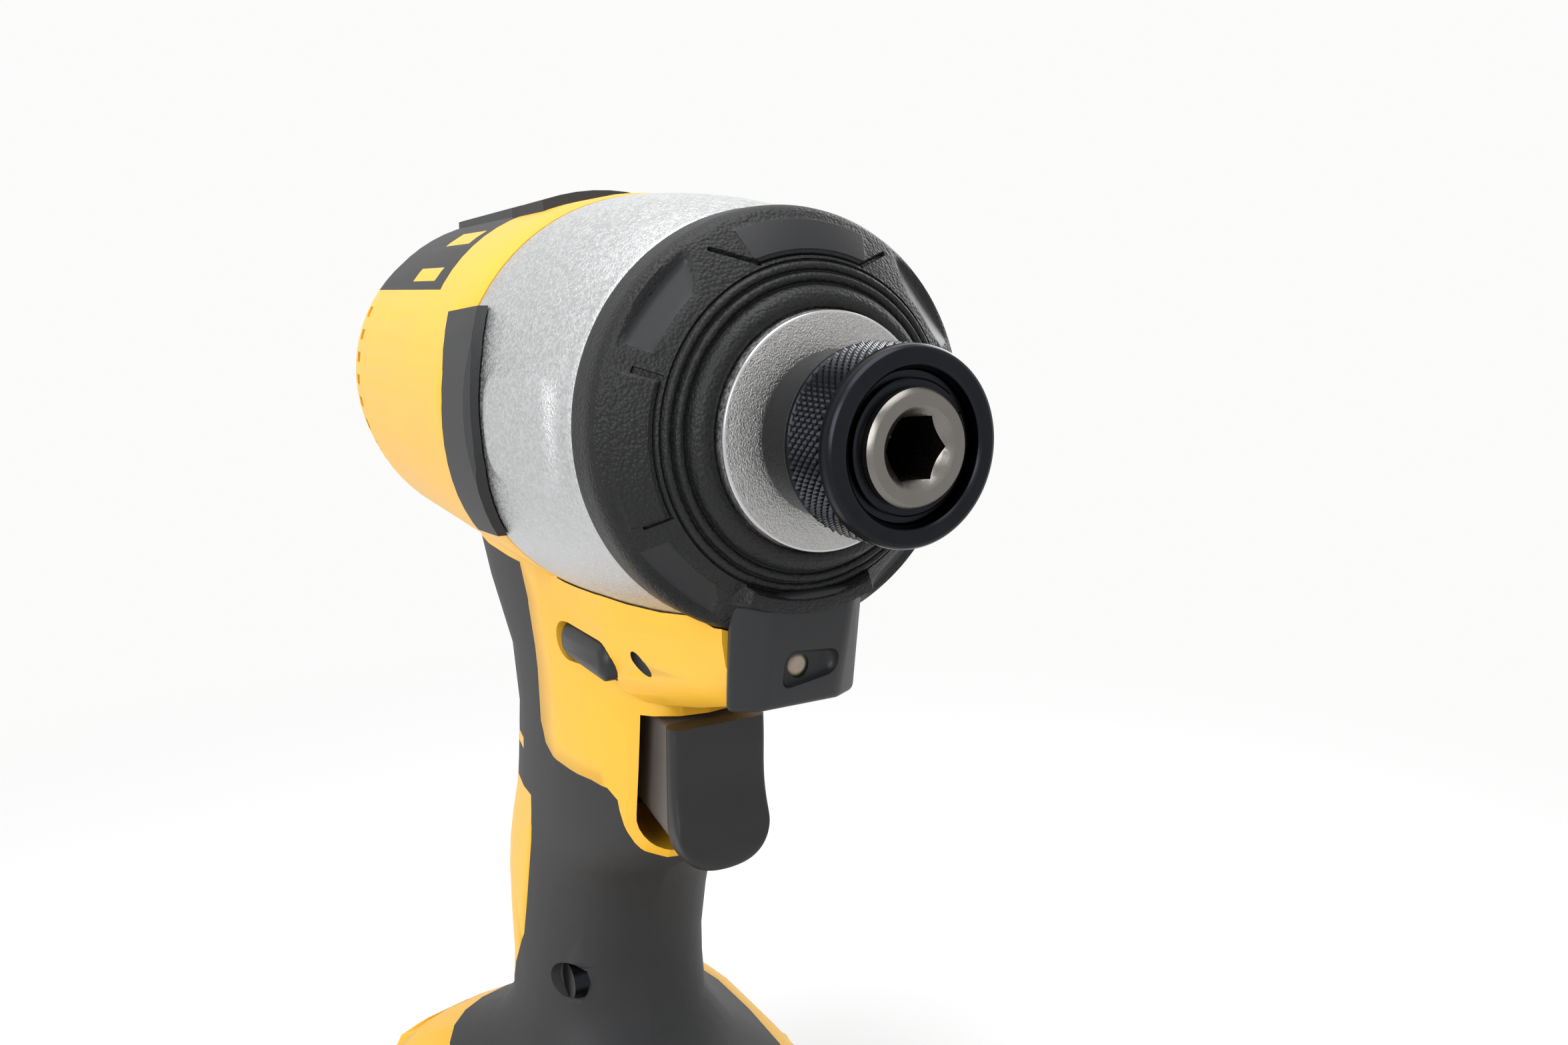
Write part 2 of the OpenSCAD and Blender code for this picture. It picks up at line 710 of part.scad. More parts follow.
module planet_pins() tool() color("#9a9a9a") for (a = [0, 120, 240]) rotate([a, 0, 0]) translate([0, 0,
    planet_at])
    rod(pin_r, carrier_front + run_gap, carrier_back - run_gap);

// involute teeth, thinned by the backlash
function inv(a) = tan(a) - a * PI / 180;
function half_turn(z, r) = let (rp = gear_module * z / 2, rb = rp * cos(pressure), a = acos(min(1,
    rb / max(r, rb))))
    90 / z - backlash / 4 / rp * 180 / PI + (inv(pressure) - inv(a)) * 180 / PI;
function tooth(z, k, radii) = let (c = 360 * k / z) concat(
    [for (r = radii) [r * cos(c - half_turn(z, r)), r * sin(c - half_turn(z, r))]],
    [for (i = [len(radii) - 1:-1:0]) let (r = radii[i]) [r * cos(c + half_turn(z, r)),
        r * sin(c + half_turn(z, r))]]);
function gear_pts(z) = let (rp = gear_module * z / 2, root = rp - dedendum_share * gear_module,
    tip = rp + addendum_share * gear_module, radii = [root, rp - flank_share * gear_module, rp, tip])
    [for (k = [0:z - 1]) each tooth(z, k, radii)];
function space_turn(z, r) = let (rp = gear_module * z / 2, rb = rp * cos(pressure), a = acos(min(1,
    rb / max(r, rb))))
    90 / z + backlash / 4 / rp * 180 / PI + (inv(pressure) - inv(a)) * 180 / PI;
function ring_space(z, k, radii) = let (c = 360 * (k + 0.5) / z) concat(
    [for (r = radii) [r * cos(c - space_turn(z, r)), r * sin(c - space_turn(z, r))]],
    [for (i = [len(radii) - 1:-1:0]) let (r = radii[i]) [r * cos(c + space_turn(z, r)),
        r * sin(c + space_turn(z, r))]]);
function ring_pts(z) = let (rp = gear_module * z / 2, tip = rp - addendum_share * gear_module,
    root = rp + dedendum_share * gear_module, radii = [tip, rp, root])
    [for (k = [0:z - 1]) each ring_space(z, k, radii)];

module gear_slab(d0, d1) translate([-d0, 0, 0]) rotate([0, -90, 0]) linear_extrude(height = d1 - d0)
    children();
module planet(k) tool() color("#8a8a80") rotate([120 * k, 0, 0]) translate([0, 0, planet_at])
    rotate([-120 * k, 0, 0]) gear_slab(gear_front, gear_back)
        rotate(-120 * k * (1 + sun_z / planet_z) + 180 / planet_z) difference() {
            polygon(gear_pts(planet_z));
            circle(r = pin_r + run_gap, $fn = 40);
        }
module planet_gear_1() planet(0);
module planet_gear_2() planet(1);
module planet_gear_3() planet(2);
module ring_gear() tool() color("#777772") gear_slab(ring_front, ring_back) difference() {
    circle(r = ring_r, $fn = round_fn);
    polygon(ring_pts(ring_z));
}
module pinion() tool() color("#90908a") gear_slab(gear_front, gear_back) difference() {
    polygon(gear_pts(sun_z));
    circle(r = nib_r + run_gap, $fn = 32);
}
module gear_plate() tool() color("#3a3c40") difference() {
    rod(plate_r, plate_front, plate_back);
    rod(spindle_brg_r + run_gap, plate_front - over, hub_back);
    rod(shaft_r + shaft_side, plate_front, plate_back + over);
    rod(rotor_brg_r + run_gap, brg_front, plate_back + over);
}
module spindle_bearing() tool() color("#a8a8a8")
    tube(spindle_brg_r, hub_out + run_gap, plate_front + seat_gap, hub_back - seat_gap);
module front_bearing() tool() color("#a8a8a8") tube(rotor_brg_r, shaft_r + run_gap, brg_front + run_gap,
    brg_back);
module rear_bearing() tool() color("#a8a8a8") tube(rotor_brg_r, shaft_r + run_gap, tail_brg_front,
    tail_brg_back);
module rotor_shaft() tool() color("#b0b0b0") {
    rod(nib_r, gear_front, gear_back + seat_gap);
    rod(shaft_r, gear_back + seat_gap, tail_brg_back);
}
module rotor_core() tool() color("#55585c") tube(rotor_r, shaft_r + run_gap, stator_front, stator_back);
module fan() tool() color("#232426") union() {
    spun([[shaft_r + run_gap, fan_front], [fan_r, fan_front], [fan_r, fan_front + fan_disc_t],
        [fan_hub_r, fan_front + fan_disc_t], [fan_hub_r, fan_back], [shaft_r + run_gap, fan_back]]);
    for (i = [0:blade_n - 1]) rotate([360 * i / blade_n, 0, 0]) intersection() {
        tube(fan_r - blade_t / 2, fan_hub_r - over, fan_front + fan_disc_t / 2, fan_back - blade_t / 2);
        translate([-fan_back, -blade_t / 2, fan_hub_r - over]) rotate([blade_lean, 0, 0])
            cube([fan_w, blade_t, fan_r]);
    }
}
module stator_core() tool() color("#4c4f55") union() {
    tube(stator_r, stator_r - yoke_t, stator_front, stator_back);
    for (a = [30:60:330]) rotate([a, 0, 0]) {
        translate([coil_gap - stator_back, -tooth_w / 2, stator_in + shoe_t / 2])
            cube([stator_len - 2 * coil_gap, tooth_w, stator_r - yoke_t / 2 - stator_in - shoe_t / 2]);
        spun([[stator_in, stator_front], [stator_in + shoe_t, stator_front], [stator_in + shoe_t,
            stator_back],
            [stator_in, stator_back]], -shoe_turn / 2, shoe_turn);
    }
}
module stator_windings() tool() color("#b5651d") for (a = [30:60:330]) rotate([a, 0, 0])
    translate([-stator_back - coil_w, 0, stator_in + shoe_t + coil_gap]) difference() {
        translate([0, -tooth_w / 2 - coil_w, 0])
            cube([stator_len + 2 * coil_w, tooth_w + 2 * coil_w,
                stator_r - yoke_t - stator_in - shoe_t - 4 * coil_gap]);
        translate([coil_w - coil_gap, -tooth_w / 2 - coil_gap, -over])
            cube([stator_len + 2 * coil_gap, tooth_w + 2 * coil_gap, stator_r]);
    }
module sensor_board() tool() color("#1f6b35") tube(stator_r - coil_gap, board_in, board_front,
    board_front + board_t);

// outer skin of housing and handle, drawn in by t
handle_rows = concat(
    [for (s = handle_shares) [-s[0] * foot_drop, grip_d - s[1] * grip_l, grip_d + s[2] * grip_l,
        s[3] * grip_w / 2, s[4]]],
    [for (s = foot_shares) [-s[0] * foot_drop, foot_d - s[1] * foot_l, foot_d + s[2] * foot_l,
        s[3] * foot_w / 2, s[4]]]);
function handle_ring(row, t) = [for (q = round_box((row[2] - row[1]) / 2 - t, row[3] - t, row[4],
    section_n))
    [q[0] - (row[1] + row[2]) / 2, q[1], row[0]]];
function nose_ring(s, t) = [for (q = round_box(s[1] * nose_half - t, s[2] * nose_drop - nose_mid - t, 3,
    section_n))
    [-nose_front - s[0] * nose_len, q[0], q[1] - nose_mid]];
module loft(rings) for (i = [0:len(rings) - 2]) hull() polyhedron(points = concat(rings[i], rings[i + 1]),
    faces = [[for (k = [0:section_n - 1]) k], [for (k = [0:section_n - 1]) section_n + k]]);
module handle_skin(t, rows = handle_rows) loft([for (r = rows) handle_ring(r, t)]);
module nose_skin(t) loft([for (s = nose_shares) nose_ring(s, t)]);
barrel_pts = [for (i = [0:len(barrel_d_shares) - 1])
    [barrel_r * barrel_r_shares[i], band_front + barrel_d_shares[i] * (overall_len - band_front)]];
module barrel_skin(t) spun(concat([[0, band_front]],
    [for (p = barrel_pts) [p[0] - t, min(p[1], overall_len - t)]], [[0, overall_len - t]]));
module skin(t) {
    barrel_skin(t);
    handle_skin(t);
    nose_skin(t);
}

// hollow for gear case, gear plate, motor and rear bearing
module spindle_room() union() {
    head_room(fit_gap);
    rod(case_in_r + fit_gap, step_d, plate_front);
    rod(plate_r + fit_gap, case_back, plate_back);
    rod(stator_r + fit_gap, plate_back - over, board_front + board_t + fan_room / 2);
    rod(fan_r + tail_room, board_front, fan_back + tail_room / 2);
    rod(rotor_brg_r + run_gap, fan_back, tail_brg_back + seat_gap);
}
module switch_room() {
    block(switch_front - seat_gap, switch_front + switch_l + seat_gap, switch_w / 2 + seat_gap,
        -switch_top - switch_h - seat_gap, -switch_top + seat_gap);
    gear_slab(0, switch_front) tongue(trigger_w / 2 + slot_side, trigger_top - trigger_side,
        trigger_top + trigger_h + trigger_side, slot_round);
    cross_room();
}
module cross_room() translate([-button_d, 0, -button_drop]) side_cut(foot_w)
    oval(button_l + 2 * seat_gap, button_h + 2 * seat_gap, 20);
grip_rows = [for (i = [room_row:len(handle_shares) - 1]) handle_rows[i]];
module handle_room() {
    handle_skin(grip_t + handle_wall, grip_rows);
    translate([-grip_d, 0, -control_top() - over]) cylinder(r = wire_r, h = foot_drop / 4, $fn = 20);
}
function control_top() = foot_drop - channel_h - plate_wall - control_h;
module foot_room() {
    block(-over, channel_back, rail_in, -foot_drop - over, -foot_drop + channel_h);
    block(-over, channel_back, rail_out, -foot_drop + rail_h, -foot_drop + channel_h);
    block(control_d - control_l / 2 - seat_gap, control_d + control_l / 2 + seat_gap,
        control_w / 2 + seat_gap,
        -control_top() - control_h - seat_gap, -control_top() + seat_gap);
    for (s = [-1, 1]) translate([-foot_d, s * (foot_w / 2 - insert_sink), -insert_drop]) rotate([-90 * s,
        0, 0])
        translate([0, 0, -insert_l]) cylinder(r = insert_r + seat_gap, h = insert_l + 2 * insert_sink,
            $fn = 20);
}
module screw_room() for (p = screw_places) {
    cross_hole(screw_r + seat_gap, p[0], p[1], -screw_side - over, screw_l - screw_side + seat_gap);
    cross_hole(screw_head_r + fit_gap, p[0], p[1], -foot_w, -screw_side + seat_gap);
}
module vent_room() for (i = [0:vent_n - 1]) translate([-vent_d, 0, (i - (vent_n - 1) / 2) * vent_pitch])
    cube([vent_l, 3 * barrel_r, vent_w], center = true);
module all_rooms() {
    spindle_room();
    switch_room();
    handle_room();
    foot_room();
    screw_room();
    vent_room();
}

// where the overmould lies
module grip_outline() polygon([for (s = grip_edge_shares) [-s[0] * grip_d, -s[1] * foot_drop]]);
module roof_outline() difference() {
    polygon([[-roof_front, roof_z], [-roof_front - roof_lean, 2 * barrel_r], [-overall_len - over,
        2 * barrel_r],
        [-overall_len - over, roof_z]]);
    for (lift = window_lift_shares) translate([-window_d - window_l, roof_z + lift * (barrel_r - roof_z)])
        square([window_l, window_h]);
}
module strip_outline() polygon([for (s = concat(smooth(strip_front_shares, 2), smooth(strip_back_shares, 2)))
    [-band_front - s[0] * strip_l, s[1] * case_r]]);
module grip_zone() {
    side_cut(foot_w) difference() {
        grip_outline();
        polygon([for (s = spine_shares) [-s[0] * grip_d, -s[1] * foot_drop]]);
        translate([-overall_len, -seam_shares[1] * foot_drop - seam_h])
            square([overall_len - seam_shares[0] * grip_d, seam_h]);
    }
    side_cut(foot_w) roof_outline();
}
module strip_shell() intersection() {
    spun([[case_in_r + fit_gap + plate_wall / 2, band_front - strip_l / 2], [barrel_r + strip_rise,
        band_front - strip_l / 4],
        [barrel_r + strip_rise / 2, band_front + strip_l],
        [barrel_r - grip_t, band_front + strip_l], [barrel_r - grip_t, band_front],
        [case_in_r + fit_gap + plate_wall / 2, band_front]]);
    side_cut(barrel_r + 2 * strip_rise) strip_outline();
}
module ridges() intersection() {
    spun([[barrel_r - 2 * grip_t, ridge_front], [barrel_r + ridge_rise, ridge_front + ridge_rise],
        [barrel_r, ridge_end], [barrel_r - 3 * grip_t, ridge_end]]);
    union() {
        block(ridge_front, ridge_front + ridge_l, ridge_w / 2, 0, 2 * barrel_r);
        block(tail_ridge_front, ridge_end, ridge_w / 2 - ridge_gap / 2, 0, 2 * barrel_r);
    }
}
module half_space(s) translate([-2 * overall_len, s > 0 ? 0 : -2 * foot_w, -2 * foot_drop])
    cube([3 * overall_len, 2 * foot_w, 4 * foot_drop]);
module housing(s) tool() difference() {
    intersection() {
        skin(0);
        half_space(s);
    }
    all_rooms();
    difference() {
        grip_zone();
        skin(grip_t);
    }
    strip_shell();
    ridges();
}
module grip(s) tool() difference() {
    intersection() {
        union() {
            intersection() {
                skin(0);
                grip_zone();
            }
            strip_shell();
            ridges();
        }
        half_space(s);
    }
    difference() {
        skin(grip_t);
        strip_shell();
        ridges();
    }
    all_rooms();
}
module housing_right() color("#f2b52c") housing(-1);
module housing_left() color("#f2b52c") housing(1);
module grip_right() color("#3b3d40") grip(-1);
module grip_left() color("#3b3d40") grip(1);
module housing_screws() tool() color("#303030") for (p = screw_places) {
    cross_hole(screw_r, p[0], p[1], -screw_side, screw_l - screw_side);
    cross_hole(screw_head_r, p[0], p[1], -screw_side - screw_head_t, -screw_side);
}

// front view of the trigger and of its slot, round at the lower corners
module tongue(half, top, bottom, r) {
    translate([r - bottom, -half]) square([bottom - top - r, 2 * half]);
    translate([-bottom, r - half]) square([2 * r, 2 * (half - r)]);
    for (s = [-1, 1]) translate([r - bottom, s * (half - r)]) circle(r = r, $fn = 32);
}
module trigger_side_view(half) side_cut(half) polygon(smooth([for (s = trigger_shares)
    [-trigger_front - s[0] * trigger_l, -trigger_top - s[1] * trigger_h]], 3));
module trigger() tool() color("#232427") union() {
    intersection() {
        trigger_side_view(trigger_w / 2);
        gear_slab(trigger_front - over, trigger_front + finger_pad_l)
            tongue(trigger_w / 2, trigger_top, trigger_top + trigger_h, tongue_round);
        translate([-trigger_front - trigger_l, 0, -trigger_top - trigger_h])
            linear_extrude(height = trigger_h) union() {
            translate([0, -trigger_w / 2]) square([trigger_l - trigger_round, trigger_w]);
            translate([0, trigger_round - trigger_w / 2]) square([trigger_l,
                trigger_w - 2 * trigger_round]);
            for (s = [-1, 1]) translate([trigger_l - trigger_round, s * (trigger_w / 2 - trigger_round)])
                circle(r = trigger_round, $fn = 32);
        }
    }
    intersection() {
        trigger_side_view(cheek_half);
        gear_slab(trigger_front + finger_pad_l / 2, trigger_front + trigger_l + over)
            tongue(cheek_half, trigger_top, trigger_top + trigger_h, tongue_round);
    }
    translate([0, 0, -stem_drop]) rod(stem_r, trigger_front + trigger_l - over,
        trigger_front + trigger_l + stem_l);
}
module trigger_switch() tool() color("#2d2f33") difference() {
    block(switch_front, switch_front + switch_l, switch_w / 2, -switch_top - switch_h, -switch_top);
    translate([0, 0, -stem_drop]) rod(stem_r + fit_gap, switch_front - over,
        trigger_front + trigger_l + stem_l + trigger_travel + stem_room);
}
button_half = neck_share * nose_half + button_proud_share * button_travel;
module direction_button() tool() color("#1b1c1e") translate([-button_d, 0, -button_drop])
    side_cut(button_half)
    oval(button_l, button_h);
module controller() tool() color("#2c3e34") block(control_d - control_l / 2, control_d + control_l / 2,
    control_w / 2,
    -control_top() - control_h, -control_top());
module terminal_block() tool() color("#202124") block(channel_back - block_l - seat_gap,
    channel_back - seat_gap, block_w / 2,
    -foot_drop + channel_h - block_h, -foot_drop + channel_h - run_gap);
module terminal_blades() tool() color("#b89a4a") for (i = [0:blade_count - 1])
    translate([-channel_back + block_l + seat_gap, (i - (blade_count - 1) / 2)
        * blade_pitch - contact_t / 2,
        -foot_drop + channel_h - run_gap - contact_h]) cube([blade_out_l, contact_t, contact_h]);
module hook_inserts() tool() color("#b08d3c") for (s = [-1, 1])
    translate([-foot_d, s * (foot_w / 2 - insert_sink), -insert_drop]) rotate([-90 * s, 0, 0])
        translate([0, 0, -insert_l]) difference() {
            cylinder(r = insert_r, h = insert_l, $fn = 40);
            translate([0, 0, -over]) cylinder(r = insert_bore_r, h = insert_l + 2 * over, $fn = 40);
        }

// battery pack, drawn with its base on z = 0
module pack_at() translate([tip_x - pack_d, 0, 0]) children();
module pack_slab(inset, z0, z1) translate([0, 0, z0]) linear_extrude(height = z1 - z0)
    polygon(round_box(pack_l / 2 - inset, pack_w / 2 - inset, pack_power, pack_n));
module ribs() for (i = [0:rib_n - 1]) difference() {
    pack_slab(-over, pack_edge + i * rib_pitch, pack_edge + i * rib_pitch + rib_t);
    pack_slab(rib_deep, 0, pack_h);
    for (s = [-1, 1]) translate([s * pack_l / 2, 0, pack_h / 2]) cube([pack_l / 4, 2 * pack_w,
        2 * pack_h], center = true);
}
module latch_room() {
    translate([pack_l / 2 - latch_l - latch_gap, -latch_w / 2 - latch_gap,
        pack_h - latch_h - latch_travel - latch_gap])
        cube([latch_l - pack_wall, latch_w + 2 * latch_gap, latch_h + latch_travel + latch_gap + over]);
    translate([pack_l / 2 - latch_l / 2, -latch_w / 2 - latch_gap,
        pack_h - latch_lip - latch_travel - latch_gap])
        cube([latch_l, latch_w + 2 * latch_gap, latch_lip + latch_travel + latch_gap + over]);
}
module pack_screw_places() for (sx = [-1, 1]) for (sy = [-1, 1])
    translate([sx * (pack_l / 2 - pack_screw_set), sy * pack_screw_y_share * pack_w, 0]) children();
module pack_screw_room() pack_screw_places() {
    translate([0, 0, -over]) cylinder(r = pack_screw_head + seat_gap,
        h = over + screw_head_t + pack_wall, $fn = 32);
    cylinder(r = pack_screw_r + seat_gap, h = pack_wall + screw_head_t + pack_screw_l, $fn = 32);
}
cell_step = 2 * cell_r + cell_gap;
module cell_room() translate([0, 0, pack_wall])
    linear_extrude(height = 2 * cell_r + 2 * free_gap) square([cell_n * cell_step + cell_gap,
        cell_len + 2 * free_gap], center = true);
module circuit_room() translate([-pack_l / 2 + circuit_set, -cell_len / 2, pack_split])
    cube([pack_l - latch_l - 2 * circuit_set, cell_len, pack_h - pack_wall - pack_split]);
module battery_bottom_case() pack_at() color("#2b2c2f") difference() {
    union() {
        hull() {
            pack_slab(pack_edge / 2, 0, slab);
            pack_slab(0, pack_edge, pack_edge + slab);
        }
        pack_slab(0, pack_edge, pack_split - seat_gap / 2);
    }
    cell_room();
    pack_screw_room();
    ribs();
}
module battery_top_case() pack_at() color("#2b2c2f") difference() {
    union() {
        pack_slab(0, pack_split + seat_gap / 2, pack_h - pack_edge / 2);
        hull() {
            pack_slab(0, pack_h - pack_edge / 2 - slab, pack_h - pack_edge / 2);
            pack_slab(pack_edge / 2, pack_h - slab, pack_h);
        }
        tower();
    }
    cell_room();
    circuit_room();
    pack_screw_room();
    latch_room();
    contact_slots();
}
tower_l = channel_back - free_gap - tower_front;
tower_x = pack_d - (channel_back - free_gap);
module tower() {
    translate([tower_x, -rail_in + free_gap, pack_h - over])
        cube([tower_l, 2 * (rail_in - free_gap), pack_gap + channel_h - free_gap + over]);
    translate([tower_x, -rail_out + free_gap, pack_h + pack_gap + rail_h + free_gap])
        cube([tower_l, 2 * (rail_out - free_gap), channel_h - rail_h - 2 * free_gap]);
}
slot_back = channel_back - block_l - seat_gap - free_gap;
module contact_slots() {
    translate([tower_x - over, -block_w / 2 - free_gap, pack_h + pack_gap + channel_h - block_h - free_gap])
        cube([channel_back - free_gap - slot_back + over, block_w + 2 * free_gap, block_h + over]);
    for (i = [0:blade_count - 1]) translate([pack_d - slot_back - over, (i - (blade_count - 1) / 2)
        * blade_pitch - slot_w / 2,
        pack_h + pack_gap + channel_h - contact_h - 2 * free_gap])
        cube([blade_out_l + contact_l + over, slot_w, contact_h + over + free_gap]);
}
module battery_contacts() pack_at() color("#b89a4a") for (i = [0:blade_count - 1])
    translate([pack_d - slot_back + blade_out_l + free_gap, (i - (blade_count - 1) / 2)
        * blade_pitch - slot_w / 2 + run_gap,
        pack_h + pack_gap + channel_h - contact_h - 2 * free_gap + run_gap])
        cube([contact_l - free_gap - run_gap, slot_w - 2 * run_gap, contact_h - free_gap]);
module battery_cells() pack_at() color("#3f6f9f") for (i = [0:cell_n - 1])
    translate([(i - (cell_n - 1) / 2) * cell_step, -cell_len / 2, pack_wall + cell_r + seat_gap])
        rotate([-90, 0, 0])
        cylinder(r = cell_r, h = cell_len, $fn = 48);
module battery_screws() pack_at() color("#303030") pack_screw_places() {
    translate([0, 0, pack_wall]) cylinder(r = pack_screw_head, h = screw_head_t, $fn = 32);
    translate([0, 0, pack_wall]) cylinder(r = pack_screw_r, h = screw_head_t + pack_screw_l - seat_gap,
        $fn = 32);
}
module battery_latch() pack_at() color("#1c1d1f") translate([pack_l / 2 - latch_l, -latch_w / 2,
    pack_h - latch_h]) difference() {
    union() {
        cube([latch_l - pack_wall - 2 * latch_gap, latch_w, latch_h - latch_seat]);
        translate([0, 0, latch_h - latch_lip]) cube([latch_l - latch_gap, latch_w, latch_lip - latch_seat]);
        cube([tooth_l, latch_w, latch_h + pack_gap - tooth_short]);
    }
    translate([latch_l - latch_gap, latch_w / 2, latch_h - latch_seat]) rotate([90, 0, 0])
        cylinder(r = latch_grip_deep, h = latch_w - 2 * latch_grip_deep, center = true, $fn = 40);
    translate([latch_spring_at, latch_w / 2, -over]) cylinder(r = latch_spring_r + fit_gap,
        h = over + latch_spring_l, $fn = 32);
}
module latch_spring() pack_at() color("#808080") translate([pack_l / 2 - latch_l + latch_spring_at, 0,
    pack_h - latch_h - latch_travel - latch_gap + seat_gap])
    cylinder(r = latch_spring_r, h = latch_travel + latch_gap + latch_spring_l - 2 * seat_gap, $fn = 32);

housing_right();
housing_left();
grip_right();
grip_left();
housing_screws();
gear_case();
nose_bumper();
led_foot();
led_lens();
led_board();
anvil();
anvil_bush();
anvil_washer();
collar();
collar_spring();
collar_washer();
snap_ring();
detent_balls();
hammer();
hammer_spring();
spring_washer();
thrust_balls();
cam_balls();
spindle();
planet_gear_1();
planet_gear_2();
planet_gear_3();
planet_pins();
ring_gear();
gear_plate();
spindle_bearing();
stator_core();
stator_windings();
sensor_board();
rotor_shaft();
rotor_core();
pinion();
fan();
front_bearing();
rear_bearing();
trigger();
trigger_switch();
direction_button();
controller();
terminal_block();
terminal_blades();
hook_inserts();
battery_top_case();
battery_bottom_case();
battery_cells();
battery_contacts();
battery_screws();
battery_latch();
latch_spring();
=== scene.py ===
# %% [markdown]
# # A compact impact driver
# The imported CAD model is the fixed frame of this lesson. It gives the place and the motion of every
# solid, and this script dresses it: fine shapes are modelled over the parts that the eye rests on,
# and every part gets a finish.

# %% Load the frame
import json
import math

import bpy
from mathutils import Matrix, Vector

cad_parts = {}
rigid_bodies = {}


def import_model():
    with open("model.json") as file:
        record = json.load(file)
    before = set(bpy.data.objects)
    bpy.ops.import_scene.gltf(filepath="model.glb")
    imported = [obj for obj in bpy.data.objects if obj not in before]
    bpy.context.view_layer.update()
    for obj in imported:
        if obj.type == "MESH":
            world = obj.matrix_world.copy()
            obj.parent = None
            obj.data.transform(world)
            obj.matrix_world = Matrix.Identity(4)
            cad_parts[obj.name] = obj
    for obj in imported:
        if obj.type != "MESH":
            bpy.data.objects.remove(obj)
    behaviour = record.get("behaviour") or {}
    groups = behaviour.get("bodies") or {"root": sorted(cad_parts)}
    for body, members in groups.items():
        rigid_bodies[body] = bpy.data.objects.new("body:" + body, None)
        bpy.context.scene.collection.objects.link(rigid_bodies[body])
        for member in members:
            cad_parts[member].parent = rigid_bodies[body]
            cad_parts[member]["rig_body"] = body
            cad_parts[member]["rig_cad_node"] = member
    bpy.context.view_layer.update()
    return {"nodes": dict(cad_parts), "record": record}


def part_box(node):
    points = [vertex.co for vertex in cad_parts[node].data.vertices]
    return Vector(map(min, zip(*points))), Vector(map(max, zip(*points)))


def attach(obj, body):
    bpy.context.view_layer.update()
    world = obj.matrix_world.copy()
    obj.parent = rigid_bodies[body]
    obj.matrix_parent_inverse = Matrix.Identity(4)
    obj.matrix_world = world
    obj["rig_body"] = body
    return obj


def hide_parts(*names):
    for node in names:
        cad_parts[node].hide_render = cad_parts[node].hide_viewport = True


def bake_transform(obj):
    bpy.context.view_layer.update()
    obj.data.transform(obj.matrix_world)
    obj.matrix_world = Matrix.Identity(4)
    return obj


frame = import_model()
nodes = frame["nodes"]
socket_mount = [m for m in frame["record"]["mounts"] if m["name"] == "bit_socket"][0]
TIP_X, _, AXIS_Z = socket_mount["pos_m"]
MM = 0.001
print("frame:", len(nodes), "solids, spindle", round(AXIS_Z, 4), "m above the base")


# %% [markdown]
# The spindle is the line that most of the tool is built on, so places are written as the drawing
# office would: millimetres back from the tip, to the left, and up from the spindle. One small helper
# turns that into metres in the frame, and a second one does the same on a circle round the spindle.

# %% Places in the tool's own terms
SPINDLE_POINT = (0, 0, AXIS_Z)
SPINDLE_WAY = (1, 0, 0)


def place(back, left, up):
    """A point in metres, from millimetres behind the tip, to the left and above the spindle."""
    return Vector((TIP_X - back * MM, left * MM, AXIS_Z + up * MM))


def round_place(back, radius, turn):
    """A point on a circle round the spindle; turn 0 is up, 90 left and 270 right."""
    a = math.radians(turn)
    return place(back, radius * math.sin(a), radius * math.cos(a))


print("tip of the anvil:", tuple(round(v, 4) for v in place(0, 0, 0)))


# %% [markdown]
# Finishes are shader graphs. Written node by node they are hard to read, so a socket is wrapped in a
# small class whose operators add Math nodes, and every other node comes from one method. A grain can
# then be written as a line of arithmetic.

# %% Shader arithmetic
class Level:
    """One value in a shader graph, used like a number."""

    def __init__(self, graph, socket):
        self.graph = graph
        self.socket = socket

    def math(self, operation, *parts):
        return self.graph.level("ShaderNodeMath", {"operation": operation}, dict(enumerate(parts)))

    def __add__(self, other):
        return self.math("ADD", self, other)

    def __radd__(self, other):
        return self.math("ADD", other, self)

    def __sub__(self, other):
        return self.math("SUBTRACT", self, other)

    def __rsub__(self, other):
        return self.math("SUBTRACT", other, self)

    def __mul__(self, other):
        return self.math("MULTIPLY", self, other)

    def __rmul__(self, other):
        return self.math("MULTIPLY", other, self)


class Graph:
    """A shader tree whose nodes are all added by one method."""

    def __init__(self, tree):
        self.tree = tree

    def feed(self, socket, value):
        """Links a level to a socket, or sets the socket to a plain value."""
        if isinstance(value, Level):
            self.tree.links.new(value.socket, socket)
        else:
            socket.default_value = value

    def add(self, kind, settings, inputs):
        """A new node: its settings are set first, then the values or links of its sockets."""
        node = self.tree.nodes.new(kind)
        for key, value in settings.items():
            setattr(node, key, value)
        for key, value in inputs.items():
            self.feed(node.inputs[key], value)
        return node

    def level(self, kind, settings, inputs, output=0):
        """One output of a new node."""
        return Level(self, self.add(kind, settings, inputs).outputs[output])


print("shader arithmetic ready")


# %% [markdown]
# A finish is one material. Its patterns are read at the place of each point on the piece, in metres,
# so a grain has the same size on a large piece and on a small one.

# %% Finishes
MIX_FACTOR, MIX_FIRST, MIX_SECOND, MIX_COLOUR = 0, 6, 7, 2


